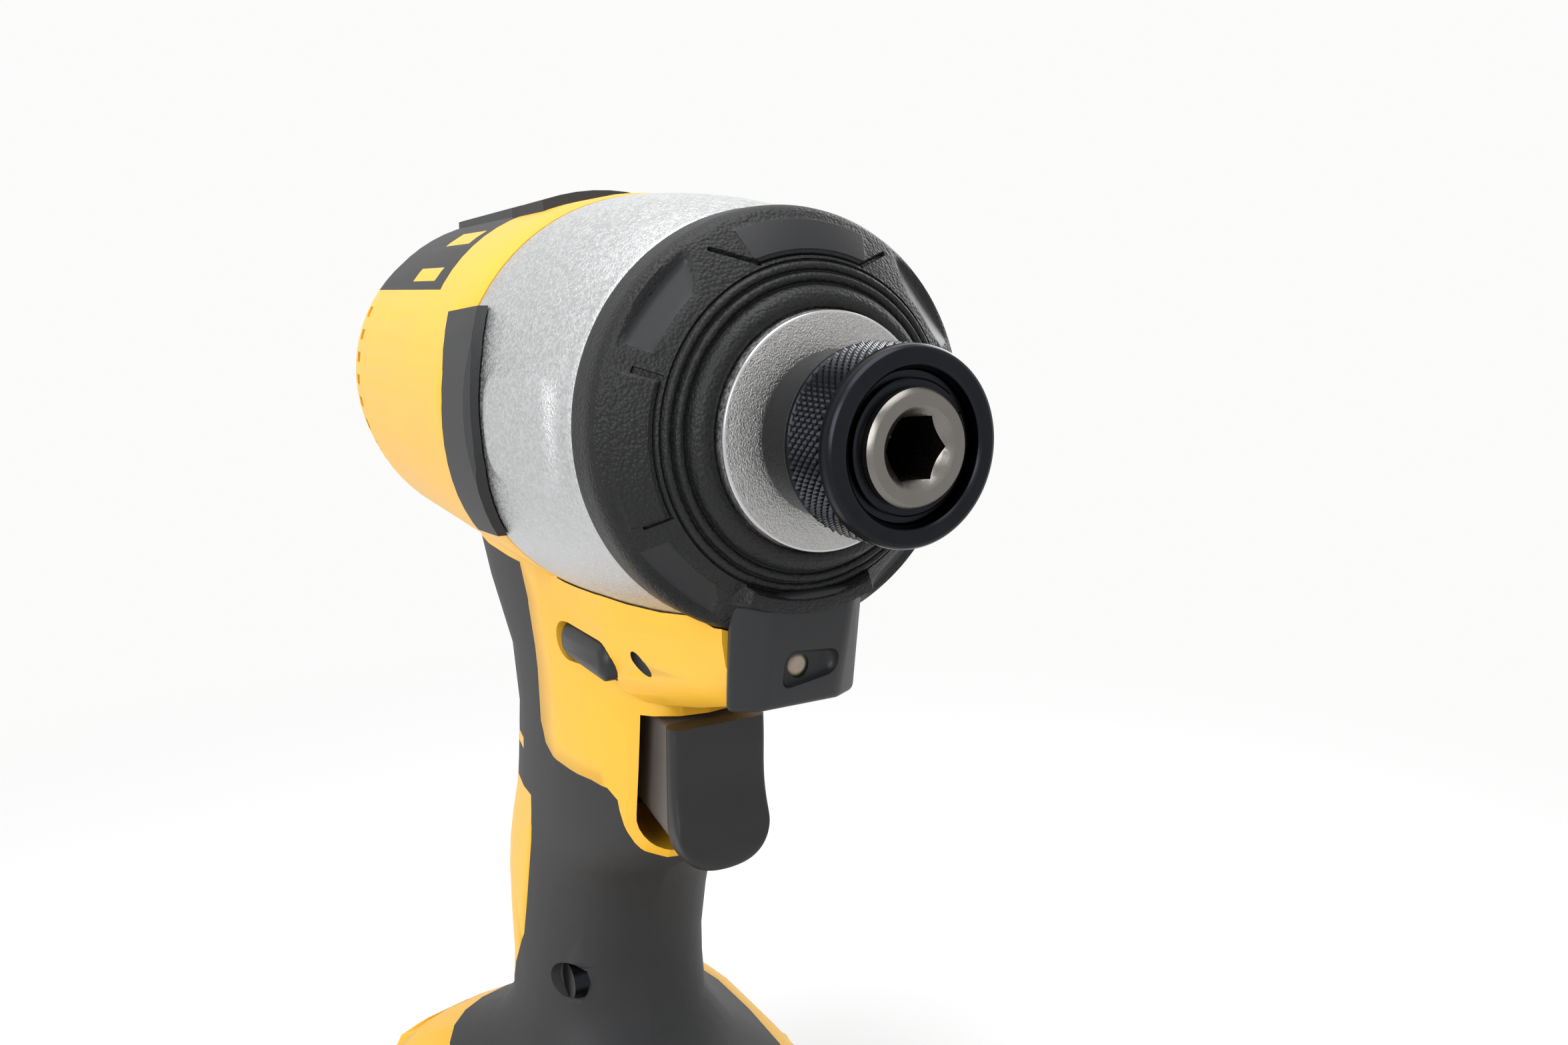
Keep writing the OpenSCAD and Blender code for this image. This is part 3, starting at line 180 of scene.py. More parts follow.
class Finish(Graph):
    """One material: patterns come from its methods, and dress() feeds the surface shader."""

    def __init__(self, name):
        self.material = bpy.data.materials.new(name)
        self.material.use_nodes = True
        super().__init__(self.material.node_tree)
        self.shader = self.tree.nodes["Principled BSDF"]
        self.here = self.level("ShaderNodeTexCoord", {}, {}, "Object")

    def noise(self, size_mm, detail=2.0, roughness=0.5):
        """Cloudy grain from 0 to 1, its lumps about size_mm across."""
        sockets = {"Vector": self.here, "Scale": 1 / (size_mm * MM), "Detail": detail, "Roughness": roughness}
        return self.level("ShaderNodeTexNoise", {}, sockets)

    def pebbles(self, size_mm, output="Distance"):
        """Cells about size_mm across: the distance to a cell's middle, or its own chance value."""
        sockets = {"Vector": self.here, "Scale": 1 / (size_mm * MM)}
        return self.level("ShaderNodeTexVoronoi", {}, sockets, output)

    def mix(self, factor, first, second):
        """A colour between two."""
        sockets = {MIX_FACTOR: factor, MIX_FIRST: first, MIX_SECOND: second}
        return self.level("ShaderNodeMix", {"data_type": "RGBA"}, sockets, MIX_COLOUR)

    def bump(self, height, depth_mm):
        """A surface direction that follows a height, with a relief of depth_mm."""
        sockets = {"Strength": 1.0, "Distance": depth_mm * MM, "Height": height}
        return self.level("ShaderNodeBump", {}, sockets)

    def dress(self, **sockets):
        """Feeds the surface shader, and hands over the material."""
        for key, value in sockets.items():
            self.feed(self.shader.inputs[key.replace("_", " ")], value)
        return self.material


def shade(colour, share):
    """A colour made darker or lighter by a share."""
    return tuple(min(1.0, c * share) for c in colour[:3]) + (1.0,)


print("finishes ready")


# %% [markdown]
# Moulded plastic is not one flat colour: the tool's steel mould leaves a fine spark-eroded grain, and
# the pigment drifts a little over a panel. Two scales of noise give both, one in the colour and one in
# the relief. The bumper's rubber has coarser pebbles, which a cell pattern gives.

# %% Moulded plastics and rubbers
def moulded(name, colour, rough, grain_mm, depth_mm, drift=0.06, shine=0.5):
    """Plastic with a fine grain; drift is how far its colour wanders, and shine its mirror level."""
    f = Finish(name)
    patch = f.noise(14, detail=3)
    grain = f.noise(grain_mm)
    tone = f.mix(patch, shade(colour, 1 - drift), shade(colour, 1 + drift))
    f.dress(Base_Color=tone, Roughness=rough - 0.05 + patch * 0.06 + grain * 0.05, Specular_IOR_Level=shine)
    return f.dress(Normal=f.bump(grain, depth_mm))


def pebbled(name, colour, rough, pebble_mm, depth_mm):
    """Rubber with a pebbled skin, with painted highlight on top of the pebbles and painted shade between
    them.
    """
    f = Finish(name)
    cell = f.pebbles(pebble_mm)
    lump = f.noise(pebble_mm * 2.2)
    patch = f.noise(9, detail=3)
    height = (1 - cell) * 0.7 + lump * 0.6
    # The pebbles' height also sets the colour: painted highlight on their tops, painted shade in the hollows.
    tone = f.mix(height, shade(colour, 0.75), shade(colour, 1.3))
    f.dress(Base_Color=tone, Roughness=rough + patch * 0.12 - lump * 0.08, Specular_IOR_Level=0.22)
    return f.dress(Normal=f.bump(height, depth_mm))


finishes = {
    "yellow_plastic": moulded(
        "yellow moulded plastic", (0.85, 0.465, 0.028), rough=0.42, grain_mm=0.35, depth_mm=0.012),
    "soft_grip": moulded(
        "soft grip", (0.030, 0.0305, 0.032), rough=0.6, grain_mm=0.28, depth_mm=0.03, drift=0.12, shine=0.28),
    "bumper_rubber": pebbled(
        "pebbled bumper rubber", (0.0095, 0.0098, 0.0105), rough=0.44, pebble_mm=0.42, depth_mm=0.13),
    "black_plastic": moulded(
        "black moulded plastic", (0.018, 0.0185, 0.02), rough=0.4, grain_mm=0.3, depth_mm=0.014,
        drift=0.1, shine=0.28),
    "cell_wrap": moulded(
        "shrink wrap", (0.05, 0.14, 0.33), rough=0.3, grain_mm=0.5, depth_mm=0.006),
    "board": moulded(
        "circuit board", (0.02, 0.14, 0.06), rough=0.45, grain_mm=0.5, depth_mm=0.02, drift=0.15)}
slide_plastic = moulded(
    "trigger slide plastic", (0.085, 0.074, 0.068), rough=0.45, grain_mm=0.4, depth_mm=0.01, drift=0.1)
smooth_rubber = moulded(
    "smooth bumper rubber", (0.016, 0.0165, 0.018), rough=0.38, grain_mm=0.22, depth_mm=0.01,
    drift=0.1, shine=0.25)
print("plastics and rubbers:", ", ".join(sorted(finishes)))


# %% [markdown]
# The gear case is die-cast and bead-blasted. Each tiny dent throws light its own way, which is what
# gives the sparkle. A cell pattern with a chance value per cell makes some dents shinier than others,
# and lightens their colour as a painted glint.
# Ground and turned steel is smoother, with faint cloudy patches, and black oxide is the same steel
# under a dark skin.

# %% Metals
def blasted(name, colour, rough, dent_mm, depth_mm):
    """Cast metal with a dent for each bead that struck it."""
    f = Finish(name)
    dent = f.noise(dent_mm, roughness=0.6)
    painted_glint_and_shine = f.pebbles(dent_mm * 1.3, "Color")
    patch = f.noise(16, detail=3)
    # The cell values lighten some dents' colour as a painted glint; they also make those dents shinier.
    tone = f.mix(dent * 0.4 + painted_glint_and_shine * 0.4 + patch * 0.2, shade(colour, 0.74), shade(colour, 1.26))
    f.dress(Metallic=1.0, Base_Color=tone, Roughness=rough - 0.14 + painted_glint_and_shine * 0.22 + patch * 0.06)
    return f.dress(Normal=f.bump(dent, depth_mm))


def ground(name, colour, rough, cloud=0.1):
    """Smooth machined metal; cloud is how far its colour wanders."""
    f = Finish(name)
    patch = f.noise(5, detail=3)
    fine = f.noise(0.25)
    tone = f.mix(patch, shade(colour, 1 - cloud), shade(colour, 1 + cloud))
    f.dress(Metallic=1.0, Base_Color=tone, Roughness=rough - 0.06 + patch * 0.1 + fine * 0.05)
    return f.dress(Normal=f.bump(fine, 0.004))


finishes["cast_alloy"] = blasted(
    "blasted casting", (0.53, 0.535, 0.54), rough=0.42, dent_mm=0.26, depth_mm=0.09)
finishes["black_steel"] = ground("black oxide steel", (0.017, 0.018, 0.021), rough=0.27, cloud=0.2)
finishes["nickel_steel"] = ground("plated anvil steel", (0.17, 0.16, 0.148), rough=0.26)
finishes["plain_steel"] = ground("ground steel", (0.5, 0.5, 0.51), rough=0.28)
finishes["dark_steel"] = ground("hardened steel", (0.2, 0.2, 0.21), rough=0.36)
finishes["bronze"] = ground("sintered bronze", (0.5, 0.31, 0.13), rough=0.42)
finishes["brass"] = ground("brass", (0.72, 0.5, 0.2), rough=0.3)
finishes["copper"] = ground("enamelled wire", (0.62, 0.27, 0.12), rough=0.3, cloud=0.2)
# The disc's colour is darker than the casting's, which is painted shade on the front face; its finer dents
# are its own.
shaded_disc_blast = blasted("finely blasted disc", (0.42, 0.415, 0.41), rough=0.42, dent_mm=0.2, depth_mm=0.16)
bright_edge = ground("machined edge", (0.52, 0.52, 0.53), rough=0.24)
print("metals:", len(finishes), "finishes in all")


# %% [markdown]
# The lamp's lens is clear resin with a warm die behind it. A real clear material would go dark inside
# its small hole, so it is a glossy warm resin with a faint cloudiness.

# %% Lamp resin
def lens_resin():
    """Warm glossy resin, a little cloudy."""
    f = Finish("lamp resin")
    cloud = f.noise(1.2)
    tone = f.mix(cloud, (0.24, 0.17, 0.10, 1.0), (0.52, 0.42, 0.31, 1.0))
    return f.dress(Base_Color=tone, Roughness=0.12 + cloud * 0.08, Coat_Weight=0.6)


finishes["lens"] = lens_resin()
print("finishes:", len(finishes))

# %% [markdown]
# The record names a finish for each solid of the frame, so one loop can dress them all. A piece that
# is modelled later takes the finish of the solid that it stands for.

# %% Every solid gets its finish
slot_of = {row["node"]: row["material_slot"] for row in frame["record"]["subparts"]}
for name, solid in nodes.items():
    solid.data.materials.clear()
    solid.data.materials.append(finishes[slot_of[name]])
print("dressed solids:", len(slot_of))


# %% [markdown]
# New pieces are modelled with Blender's own tools. Two habits keep that safe: everything is deselected
# before a primitive is added, and a piece that is ready is named, given its finish, told which CAD body
# it rides on, and the CAD solid that it stands for is hidden.

# %% Modelling helpers
def body_of(node):
    """The moving body that a CAD solid belongs to."""
    bodies = frame["record"]["behaviour"]["bodies"]
    return [body for body, members in bodies.items() if node in members][0]


def enter(mode):
    """Changes to edit mode or object mode."""
    bpy.ops.object.mode_set(mode=mode)


def start_clean():
    """Leaves edit mode and deselects everything."""
    if bpy.context.object is not None and bpy.context.object.mode != "OBJECT":
        enter("OBJECT")
    bpy.ops.object.select_all(action="DESELECT")


def pick(obj):
    """Selects one object alone and makes it the active one."""
    start_clean()
    obj.select_set(True)
    bpy.context.view_layer.objects.active = obj


def settle(obj):
    """Moves the object's place, turn and size into its mesh."""
    pick(obj)
    bpy.ops.object.transform_apply(location=True, rotation=True, scale=True)


def modify(obj, kind, **settings):
    """Adds a modifier, sets it and applies it."""
    pick(obj)
    bpy.ops.object.modifier_add(type=kind)
    modifier = obj.modifiers[-1]
    for key, value in settings.items():
        setattr(modifier, key, value)
    bpy.ops.object.modifier_apply(modifier=modifier.name)


def soften(obj, width_mm, segments=2, angle=28):
    """Rounds every edge that is sharper than angle."""
    modify(obj, "BEVEL", width=width_mm * MM, segments=segments, limit_method="ANGLE",
           angle_limit=math.radians(angle), use_clamp_overlap=True)


def smooth_look(obj, angle=32):
    """Shades the surface smooth, apart from edges that are sharper than angle."""
    pick(obj)
    bpy.ops.object.shade_smooth_by_angle(angle=math.radians(angle))


def cut(obj, cutter):
    """Takes another object's room out of one; the cutter's finish stays on the faces it made."""
    modify(obj, "BOOLEAN", object=cutter, operation="DIFFERENCE", solver="EXACT", material_mode="TRANSFER")
    pick(cutter)
    bpy.ops.object.delete()


def ready(obj, name, body, slot, *stands_for):
    """Names a finished piece and ties it to the frame."""
    obj.name = name
    obj.data.name = name
    if not obj.data.materials:
        obj.data.materials.append(finishes[slot])
    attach(obj, body)
    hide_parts(*stands_for)
    print(name, "on", body, ":", len(obj.data.polygons), "faces")


print("modelling helpers ready")


# %% [markdown]
# Most of the nose is turned on a lathe, and Spin does the same: a chain of points is drawn by
# extruding one vertex from place to place, then spun round the spindle.

# %% Turning on the spindle
SEED_SIZE = 0.1
WELD = 0.000004


def chain(points):
    """Draws a line from point to point by extruding one vertex, and leaves it in edit mode."""
    start_clean()
    bpy.ops.mesh.primitive_plane_add(size=SEED_SIZE * MM, location=points[0])
    obj = bpy.context.object
    settle(obj)
    enter("EDIT")
    bpy.ops.mesh.select_mode(type="VERT")
    bpy.ops.mesh.select_all(action="SELECT")
    bpy.ops.mesh.merge(type="CENTER")
    for here, there in zip(points, points[1:]):
        bpy.ops.mesh.extrude_region_move(TRANSFORM_OT_translate={"value": there - here})
    return obj


def turned(profile, steps=144):
    """A solid of revolution; the profile is a closed chain of (radius, distance back) in millimetres."""
    points = [place(back, 0, radius) for radius, back in profile]
    obj = chain(points + points[:1])
    bpy.ops.mesh.select_all(action="SELECT")
    bpy.ops.mesh.spin(steps=steps, angle=2 * math.pi, center=SPINDLE_POINT, axis=SPINDLE_WAY)
    bpy.ops.mesh.select_all(action="SELECT")
    bpy.ops.mesh.remove_doubles(threshold=WELD)
    bpy.ops.mesh.normals_make_consistent(inside=False)
    enter("OBJECT")
    return obj


print("lathe ready")

# %% [markdown]
# The collar is the part the photograph is focused on. It is turned from bar: a plain sleeve, a band
# of diamond knurl, a smooth front lip and a recessed front face. The knurl could be a bump in the
# finish, but it shows in the outline, so each diamond is a small pyramid. One is modelled, spun
# into a ring of copies, and the ring is copied along the band, half a pitch round each time.

# %% Turned collar
front_lip = [(8.0, 1.5), (8.15, 0.9), (8.5, 0.55), (8.9, 0.5), (9.7, 0.5), (10.1, 0.68), (10.35, 1.05),
             (10.42, 1.5), (10.42, 2.5)]
knurl_bed = [(10.0, 2.8), (10.0, 8.6), (10.2, 8.8), (10.2, 9.3)]
sleeve = [(9.9, 9.9), (9.45, 10.4), (9.3, 10.8), (9.3, 15.4), (9.15, 15.75), (8.85, 15.9)]
collar_bore = [(7.65, 15.9), (7.65, 12.8), (6.2, 12.8), (6.2, 10.6), (8.0, 10.6)]
collar = turned(front_lip + knurl_bed + sleeve + collar_bore)
soften(collar, 0.08, segments=2, angle=20)
collar.data.materials.append(finishes["black_steel"])
print("collar turned:", len(collar.data.polygons), "faces")

# %% Diamond knurl
KNURL_COUNT = 58
KNURL_ROWS = 10
KNURL_PITCH = 0.56
KNURL_FOOT = 0.64
KNURL_TOP = 0.1
KNURL_HEIGHT = 0.6
FINE_WELD = 0.000002


def join(main, *others):
    """Makes other objects part of one."""
    pick(main)
    for obj in others:
        obj.select_set(True)
    bpy.ops.object.join()


start_clean()
bpy.ops.mesh.primitive_cone_add(vertices=4, radius1=KNURL_FOOT * MM, radius2=KNURL_TOP * MM,
                                depth=KNURL_HEIGHT * MM, location=place(3.12, 0, 10.19))
knurl = bpy.context.object
settle(knurl)
enter("EDIT")
bpy.ops.mesh.select_all(action="SELECT")
bpy.ops.mesh.spin(steps=KNURL_COUNT, dupli=True, angle=2 * math.pi, center=SPINDLE_POINT, axis=SPINDLE_WAY)
bpy.ops.mesh.select_all(action="SELECT")
bpy.ops.mesh.remove_doubles(threshold=FINE_WELD)
for rows_made in range(1, KNURL_ROWS):
    bpy.ops.mesh.select_all(action="DESELECT")
    enter("OBJECT")
    newest = len(knurl.data.vertices) // rows_made
    for vertex in list(knurl.data.vertices)[-newest:]:
        vertex.select = True
    enter("EDIT")
    bpy.ops.mesh.duplicate_move(TRANSFORM_OT_translate={"value": (-KNURL_PITCH * MM, 0, 0)})
    bpy.ops.transform.rotate(value=math.pi / KNURL_COUNT, orient_axis="X", center_override=SPINDLE_POINT)
enter("OBJECT")
knurl.data.materials.append(finishes["black_steel"])
join(collar, knurl)
smooth_look(collar, 30)
ready(collar, "knurled_collar", "collar_body", "black_steel", "collar")

# %% [markdown]
# Behind the collar's mouth a flat wire ring snaps into a groove of the anvil and keeps the collar on.
# It is open, so that it can be sprung over the tip. It is turned whole and the gap is sawn out of it.

# %% Snap ring
GAP_TURN = 52


def bar(length, width, height, spot):
    """A box with its sizes in millimetres along X, Y and Z, and its middle at a point."""
    start_clean()
    bpy.ops.mesh.primitive_cube_add(size=1)
    obj = bpy.context.object
    obj.scale = (length * MM, width * MM, height * MM)
    obj.location = spot
    settle(obj)
    return obj


snap_ring = turned([(5.62, 1.36), (6.85, 1.36), (7.05, 1.5), (7.05, 1.92), (6.85, 2.04), (5.62, 2.04)], 96)
snap_ring.data.materials.append(finishes["black_steel"])
saw = bar(3, 2.4, 3, place(1.7, 0, 6.6))
bpy.ops.transform.rotate(value=math.radians(GAP_TURN), orient_axis="X", center_override=SPINDLE_POINT)
settle(saw)
soften(saw, 0.3, segments=3)
saw.data.materials.append(finishes["black_steel"])
cut(snap_ring, saw)
smooth_look(snap_ring, 30)
ready(snap_ring, "open_snap_ring", body_of("snap_ring"), "black_steel", "snap_ring")

# %% [markdown]
# The nose bumper is one moulding of soft rubber: a broad bead round the bare disc, two fine ridges, a
# pebbled cone and a round rim. It could be sculpted, but a turned grid with a ring every 0.3 mm
# on the cone lets the rest be shaped exactly, by picking faces and corners.

# %% Turned bumper
CONE_START = 19.05
CONE_END = 24.1
CONE_RINGS = 18
CONE_RADIUS = 18.66
CONE_BACK = 20.09
CONE_REACH = 5.31
CONE_DROP = 3.71
CONE_CROWN = 0.5


def cone_back(radius):
    """How far back the slightly crowned cone lies at a radius."""
    share = (radius - CONE_RADIUS) / CONE_REACH
    return CONE_BACK + CONE_DROP * share - CONE_CROWN * share * (1 - share)


bead = [(13.72, 18.6), (13.72, 17.95), (13.82, 17.7), (14.05, 17.55), (14.35, 17.5), (14.75, 17.56),
        (15.15, 17.72), (15.5, 17.96), (15.8, 18.27), (16.02, 18.62), (16.15, 18.95), (16.22, 19.3)]
ridges = [(16.3, 19.42), (16.42, 19.42), (16.52, 19.28), (16.7, 19.12), (16.95, 19.06), (17.2, 19.1),
          (17.4, 19.26), (17.5, 19.5), (17.55, 19.86), (17.63, 19.98), (17.74, 19.98), (17.83, 19.84),
          (18.0, 19.7), (18.22, 19.66), (18.45, 19.74), (18.62, 19.92), (18.72, 20.15), (18.78, 20.5),
          (18.85, 20.58), (18.95, 20.54)]
cone_radii = [CONE_START + (CONE_END - CONE_START) * i / (CONE_RINGS - 1) for i in range(CONE_RINGS)]
cone = [(radius, cone_back(radius)) for radius in cone_radii]
rim = [(24.45, 24.22), (24.75, 24.68), (24.96, 25.25), (25.08, 25.95), (25.1, 26.8), (25.1, 27.7),
       (25.1, 28.6), (25.1, 29.4), (25.07, 29.9), (25.0, 30.17)]
seat = [(22.72, 30.17), (22.72, 26.0), (18.7, 22.05)]
bumper = turned(bead + ridges + cone + rim + seat, 360)
bumper.data.materials.append(finishes["bumper_rubber"])
bumper.data.materials.append(smooth_rubber)
PEBBLED, SMOOTH = 0, 1
print("bumper turned:", len(bumper.data.polygons), "faces")


# %% [markdown]
# The bumper's details lie at a radius and a turn round the spindle. By hand they would be picked with
# the mouse. Here each face, edge or corner is picked by a test on its place, which is exact and comes
# out the same every time, and what is picked is then moved, scaled, evened out or given a finish.

# %% Measures round the spindle
def polar(spot):
    """Radius and distance back in millimetres, and the turn in degrees from -180 to 180."""
    near = spot - place(0, 0, 0)
    return math.hypot(near.y, near.z) / MM, -near.x / MM, math.degrees(math.atan2(near.y, near.z))


def back_of(spot):
    """Distance behind the tip in millimetres."""
    return polar(spot)[1]


def up_of(spot):
    """Height above the spindle in millimetres."""
    return (spot.z - AXIS_Z) / MM


def apart(turn, other):
    """Signed degrees from one turn to another."""
    return (turn - other + 180) % 360 - 180


def on_cone(spot):
    """Whether a point lies on the bumper's cone."""
    radius, back, _ = polar(spot)
    return 19.2 < radius < 24.3 and abs(back - cone_back(radius)) < 0.6


print("left of the spindle is turn", round(polar(place(0, 10, 0))[2]))

# %% Picking and shaping
PARTS = {"VERT": "vertices", "EDGE": "edges", "FACE": "polygons"}


def pick_parts(obj, kind, test):
    """Selects the parts of a mesh that pass a test, and enters edit mode."""
    pick(obj)
    enter("EDIT")
    bpy.ops.mesh.select_mode(type=kind)
    bpy.ops.mesh.select_all(action="DESELECT")
    enter("OBJECT")
    for part in getattr(obj.data, PARTS[kind]):
        part.select = bool(test(part))
    enter("EDIT")


def pick_faces(obj, test):
    """Selects the faces whose middle passes a test."""
    pick_parts(obj, "FACE", lambda face: test(face.center))


def pick_corners(obj, test):
    """Selects the corners that pass a test."""
    pick_parts(obj, "VERT", lambda corner: test(corner.co))


def pick_edges(obj, test):
    """Selects the edges whose middle and direction pass a test."""
    def passes(edge):
        a, b = (obj.data.vertices[i].co for i in edge.vertices)
        return test((a + b) / 2, (b - a).normalized())
    pick_parts(obj, "EDGE", passes)


def paint(obj, slot):
    """Gives the picked faces another of the piece's finishes, and leaves edit mode."""
    obj.active_material_index = slot
    bpy.ops.object.material_slot_assign()
    enter("OBJECT")


def shift(obj, test, step):
    """Moves the corners that pass a test."""
    pick_corners(obj, test)
    bpy.ops.transform.translate(value=step)
    enter("OBJECT")


def stretch(obj, test, factors, middle):
    """Scales the corners that pass a test about a point."""
    pick_corners(obj, test)
    bpy.ops.transform.resize(value=factors, center_override=middle)
    enter("OBJECT")


def even_out(obj, test, repeat):
    """Smooths the corners that pass a test."""
    pick_corners(obj, test)
    bpy.ops.mesh.vertices_smooth(factor=0.5, repeat=repeat)
    enter("OBJECT")


print("picking helpers ready")

# %% [markdown]
# Above and below each side pad a flat, smooth panel is pressed into the cone. A boolean would leave
# long thin faces in the fine grid. So the corners that stand above a sunk plane are scaled flat onto
# it, and the rim of the panel is evened out.

# %% Flat panels beside the side pads
PANEL_RADIUS = 22.6
PANEL_INNER = 20.7
PANEL_OUTER = 23.95
PANEL_HALF = 6.6
PANEL_DEPTH = 0.75
PANEL_TILT = 0.09
PANEL_LEAN = 0.2


def flat_panel(obj, end_turn, way):
    """Scales the cone's corners flat onto a sunk plane; the panel starts with a step at end_turn."""
    middle_turn = end_turn + way * math.degrees(PANEL_HALF / PANEL_RADIUS)
    slope = math.atan2(CONE_DROP, CONE_REACH)
    outward = round_place(0, 1, middle_turn) - place(0, 0, 0)
    outward.normalize()
    along = Vector(SPINDLE_WAY).cross(outward).normalized()
    if along.dot(round_place(0, 1, middle_turn + way * 5) - round_place(0, 1, middle_turn)) < 0:
        along = -along
    face_out = Vector((math.cos(slope), 0, 0)) + outward * math.sin(slope)
    downhill = outward * math.cos(slope) - Vector((math.sin(slope), 0, 0))
    normal = (face_out - along * PANEL_TILT + downhill * PANEL_LEAN).normalized()
    heart = round_place(cone_back(PANEL_RADIUS), PANEL_RADIUS, middle_turn) - face_out * (PANEL_DEPTH * MM)

    def reach(turn):
        return abs(math.radians(apart(turn, middle_turn)) * PANEL_RADIUS)

    def above(spot):
        radius, _, turn = polar(spot)
        inside = PANEL_INNER < radius < PANEL_OUTER and reach(turn) < PANEL_HALF
        return inside and on_cone(spot) and (spot - heart).dot(normal) > 0

    def around(spot):
        radius, back, turn = polar(spot)
        return 20.4 < radius < 24.4 and reach(turn) < PANEL_HALF + 0.7 and back < 26

    pick_corners(obj, above)
    axes = (tuple(along), tuple(normal.cross(along).normalized()), tuple(normal))
    bpy.ops.transform.resize(value=(1, 1, 0), orient_type="GLOBAL", orient_matrix=axes,
                             orient_matrix_type="GLOBAL", center_override=heart)
    bpy.ops.mesh.select_mode(type="FACE")
    paint(obj, SMOOTH)
    even_out(obj, around, 3)


for end_turn, way in ((-66, 1), (-123, -1), (66, -1), (123, 1)):
    flat_panel(bumper, end_turn, way)
print("bumper panels: 4")


# %% [markdown]
# Three pads stand proud of the cone, at the top and at both sides, and each is framed by a thin
# groove. An inset with a depth raises or sinks faces and gives them a sloping edge in one step, so no
# new mesh has to be fitted to the cone. Over the lamp foot, a low band of the cone is drawn forward.

# %% Raised pads and the grooves that frame them
PAD_INNER = 19.75
PAD_OUTER = 23.6
GROOVE_INNER = 19.3
GROOVE_OUTER = 19.66
GROOVE_TURN = 1.1
GROOVE_EDGE = 0.05
GROOVE_DEPTH = 0.42
SIDE_TURN = 94


def raise_pad(obj, middle_turn, half_turn, lifts, slot):
    """Lifts the cone's faces between two turns, in soft steps of an inset and a depth."""
    pick_faces(obj, lambda spot: on_cone(spot) and PAD_INNER < polar(spot)[0] < PAD_OUTER
               and abs(apart(polar(spot)[2], middle_turn)) < half_turn)
    for thickness, depth in lifts:
        bpy.ops.mesh.inset(thickness=thickness * MM, depth=depth * MM)
    paint(obj, slot)


def frame_groove(obj, middle_turn, half_turn, end_radius):
    """A thin groove round the pad's inner edge; its ends run outward if end_radius is large."""
    def course(spot):
        radius, _, turn = polar(spot)
        away = abs(apart(turn, middle_turn))
        inner = GROOVE_INNER < radius < GROOVE_OUTER and away < half_turn
        ends = GROOVE_INNER < radius < end_radius and half_turn - GROOVE_TURN < away < half_turn
        return on_cone(spot) and (inner or ends)
    pick_faces(obj, course)
    bpy.ops.mesh.inset(thickness=GROOVE_EDGE * MM, depth=-GROOVE_DEPTH * MM)
    enter("OBJECT")


def over_foot(spot, spare):
    """Whether a point lies in the band over the lamp foot, or up to spare millimetres outside it."""
    radius, back, turn = polar(spot)
    low_band = 19.25 - spare < radius < 21.6 + spare and abs(apart(turn, 180)) < 25 + 3 * spare
    return low_band and 18 < back < 23.5


stretch(bumper, lambda spot: on_cone(spot) and over_foot(spot, 0), (0.3, 1, 1), place(18.2, 0, 0))
even_out(bumper, lambda spot: over_foot(spot, 0.4) and polar(spot)[0] > 19.2, 2)
raise_pad(bumper, 0, 22, ((0.3, 0.16), (0.3, 0.12)), SMOOTH)
for side in (-SIDE_TURN, SIDE_TURN):
    raise_pad(bumper, side, 21.9, ((0.3, 0.2), (0.3, 0.12)), PEBBLED)
    frame_groove(bumper, side, 23.5, 22.2)
frame_groove(bumper, 0, 20.5, 19.5)
print("bumper pads: 3, grooves: 3, band over the lamp foot: 1")


# %% [markdown]
# The top groove ends in two short lines that slant outward over the cone. They cross the grid, so the
# faces near each line are divided finely first. The corners close to the line are then pressed in, in
# two steps, which leaves sloping walls.

# %% Slanting ends of the top groove
def press_line(obj, start, end, half_width, deep):
    """Presses the corners along a short line of the cone straight into it; ends are (turn, radius)."""
    first = round_place(cone_back(start[1]), start[1], start[0])
    run = round_place(cone_back(end[1]), end[1], end[0]) - first
    slope = math.atan2(cone_back(23) - cone_back(20), 3)
    middle = math.radians((start[0] + end[0]) / 2)
    outward = Vector((0, math.sin(middle), math.cos(middle)))
    face_out = Vector((math.cos(slope), 0, 0)) + outward * math.sin(slope)

    def near(spot, reach):
        """Whether a point of the cone lies within reach of the line, seen from straight above."""
        share = max(0, min(1, (spot - first).dot(run) / run.length_squared))
        away = spot - first - run * share
        return on_cone(spot) and (away - face_out * away.dot(face_out)).length < reach * MM

    pick_faces(obj, lambda spot: near(spot, 3 * half_width))
    bpy.ops.mesh.subdivide(number_cuts=3)
    enter("OBJECT")
    for reach in (half_width, 0.6 * half_width):
        shift(obj, lambda spot: near(spot, reach), face_out * -deep / 2 * MM)


for way in (-1, 1):
    press_line(bumper, (way * 19.9, 19.5), (way * 30.0, 22.9), half_width=0.26, deep=0.5)
smooth_look(bumper, 40)
ready(bumper, "rubber_bumper", "frame", "bumper_rubber", "nose_bumper")

# %% [markdown]
# The gear case is the silver casting that carries the anvil. Only its front disc, its bare band and
# the two raised pads on its sides are seen, but it is turned hollow like the real one, so that nothing
# inside it is buried. The band's curve is drawn from six measured points and rounded off by a mean.

# %% Turned gear case
case_curve = [(24.97, 30.2), (26.08, 34.96), (27.08, 41.3), (27.87, 48.6), (28.3, 54.9), (28.5, 59.4)]
CURVE_FRONT = case_curve[0][1]
CURVE_BACK = case_curve[-1][1]
BAND_START = 30.7
BAND_STEP = 0.55
BAND_RINGS = 55


def case_radius(back):
    """The radius on the straight lines between the measured points."""
    for (r0, b0), (r1, b1) in zip(case_curve, case_curve[1:]):
        if back <= b1:
            return r0 + (r1 - r0) * (back - b0) / (b1 - b0)
    return case_curve[-1][0]


def mean_radius(back):
    """The curve rounded off: the mean over four millimetres."""
    spots = [min(max(back + i * 0.5, CURVE_FRONT), CURVE_BACK) for i in range(-4, 5)]
    return sum(case_radius(b) for b in spots) / len(spots)


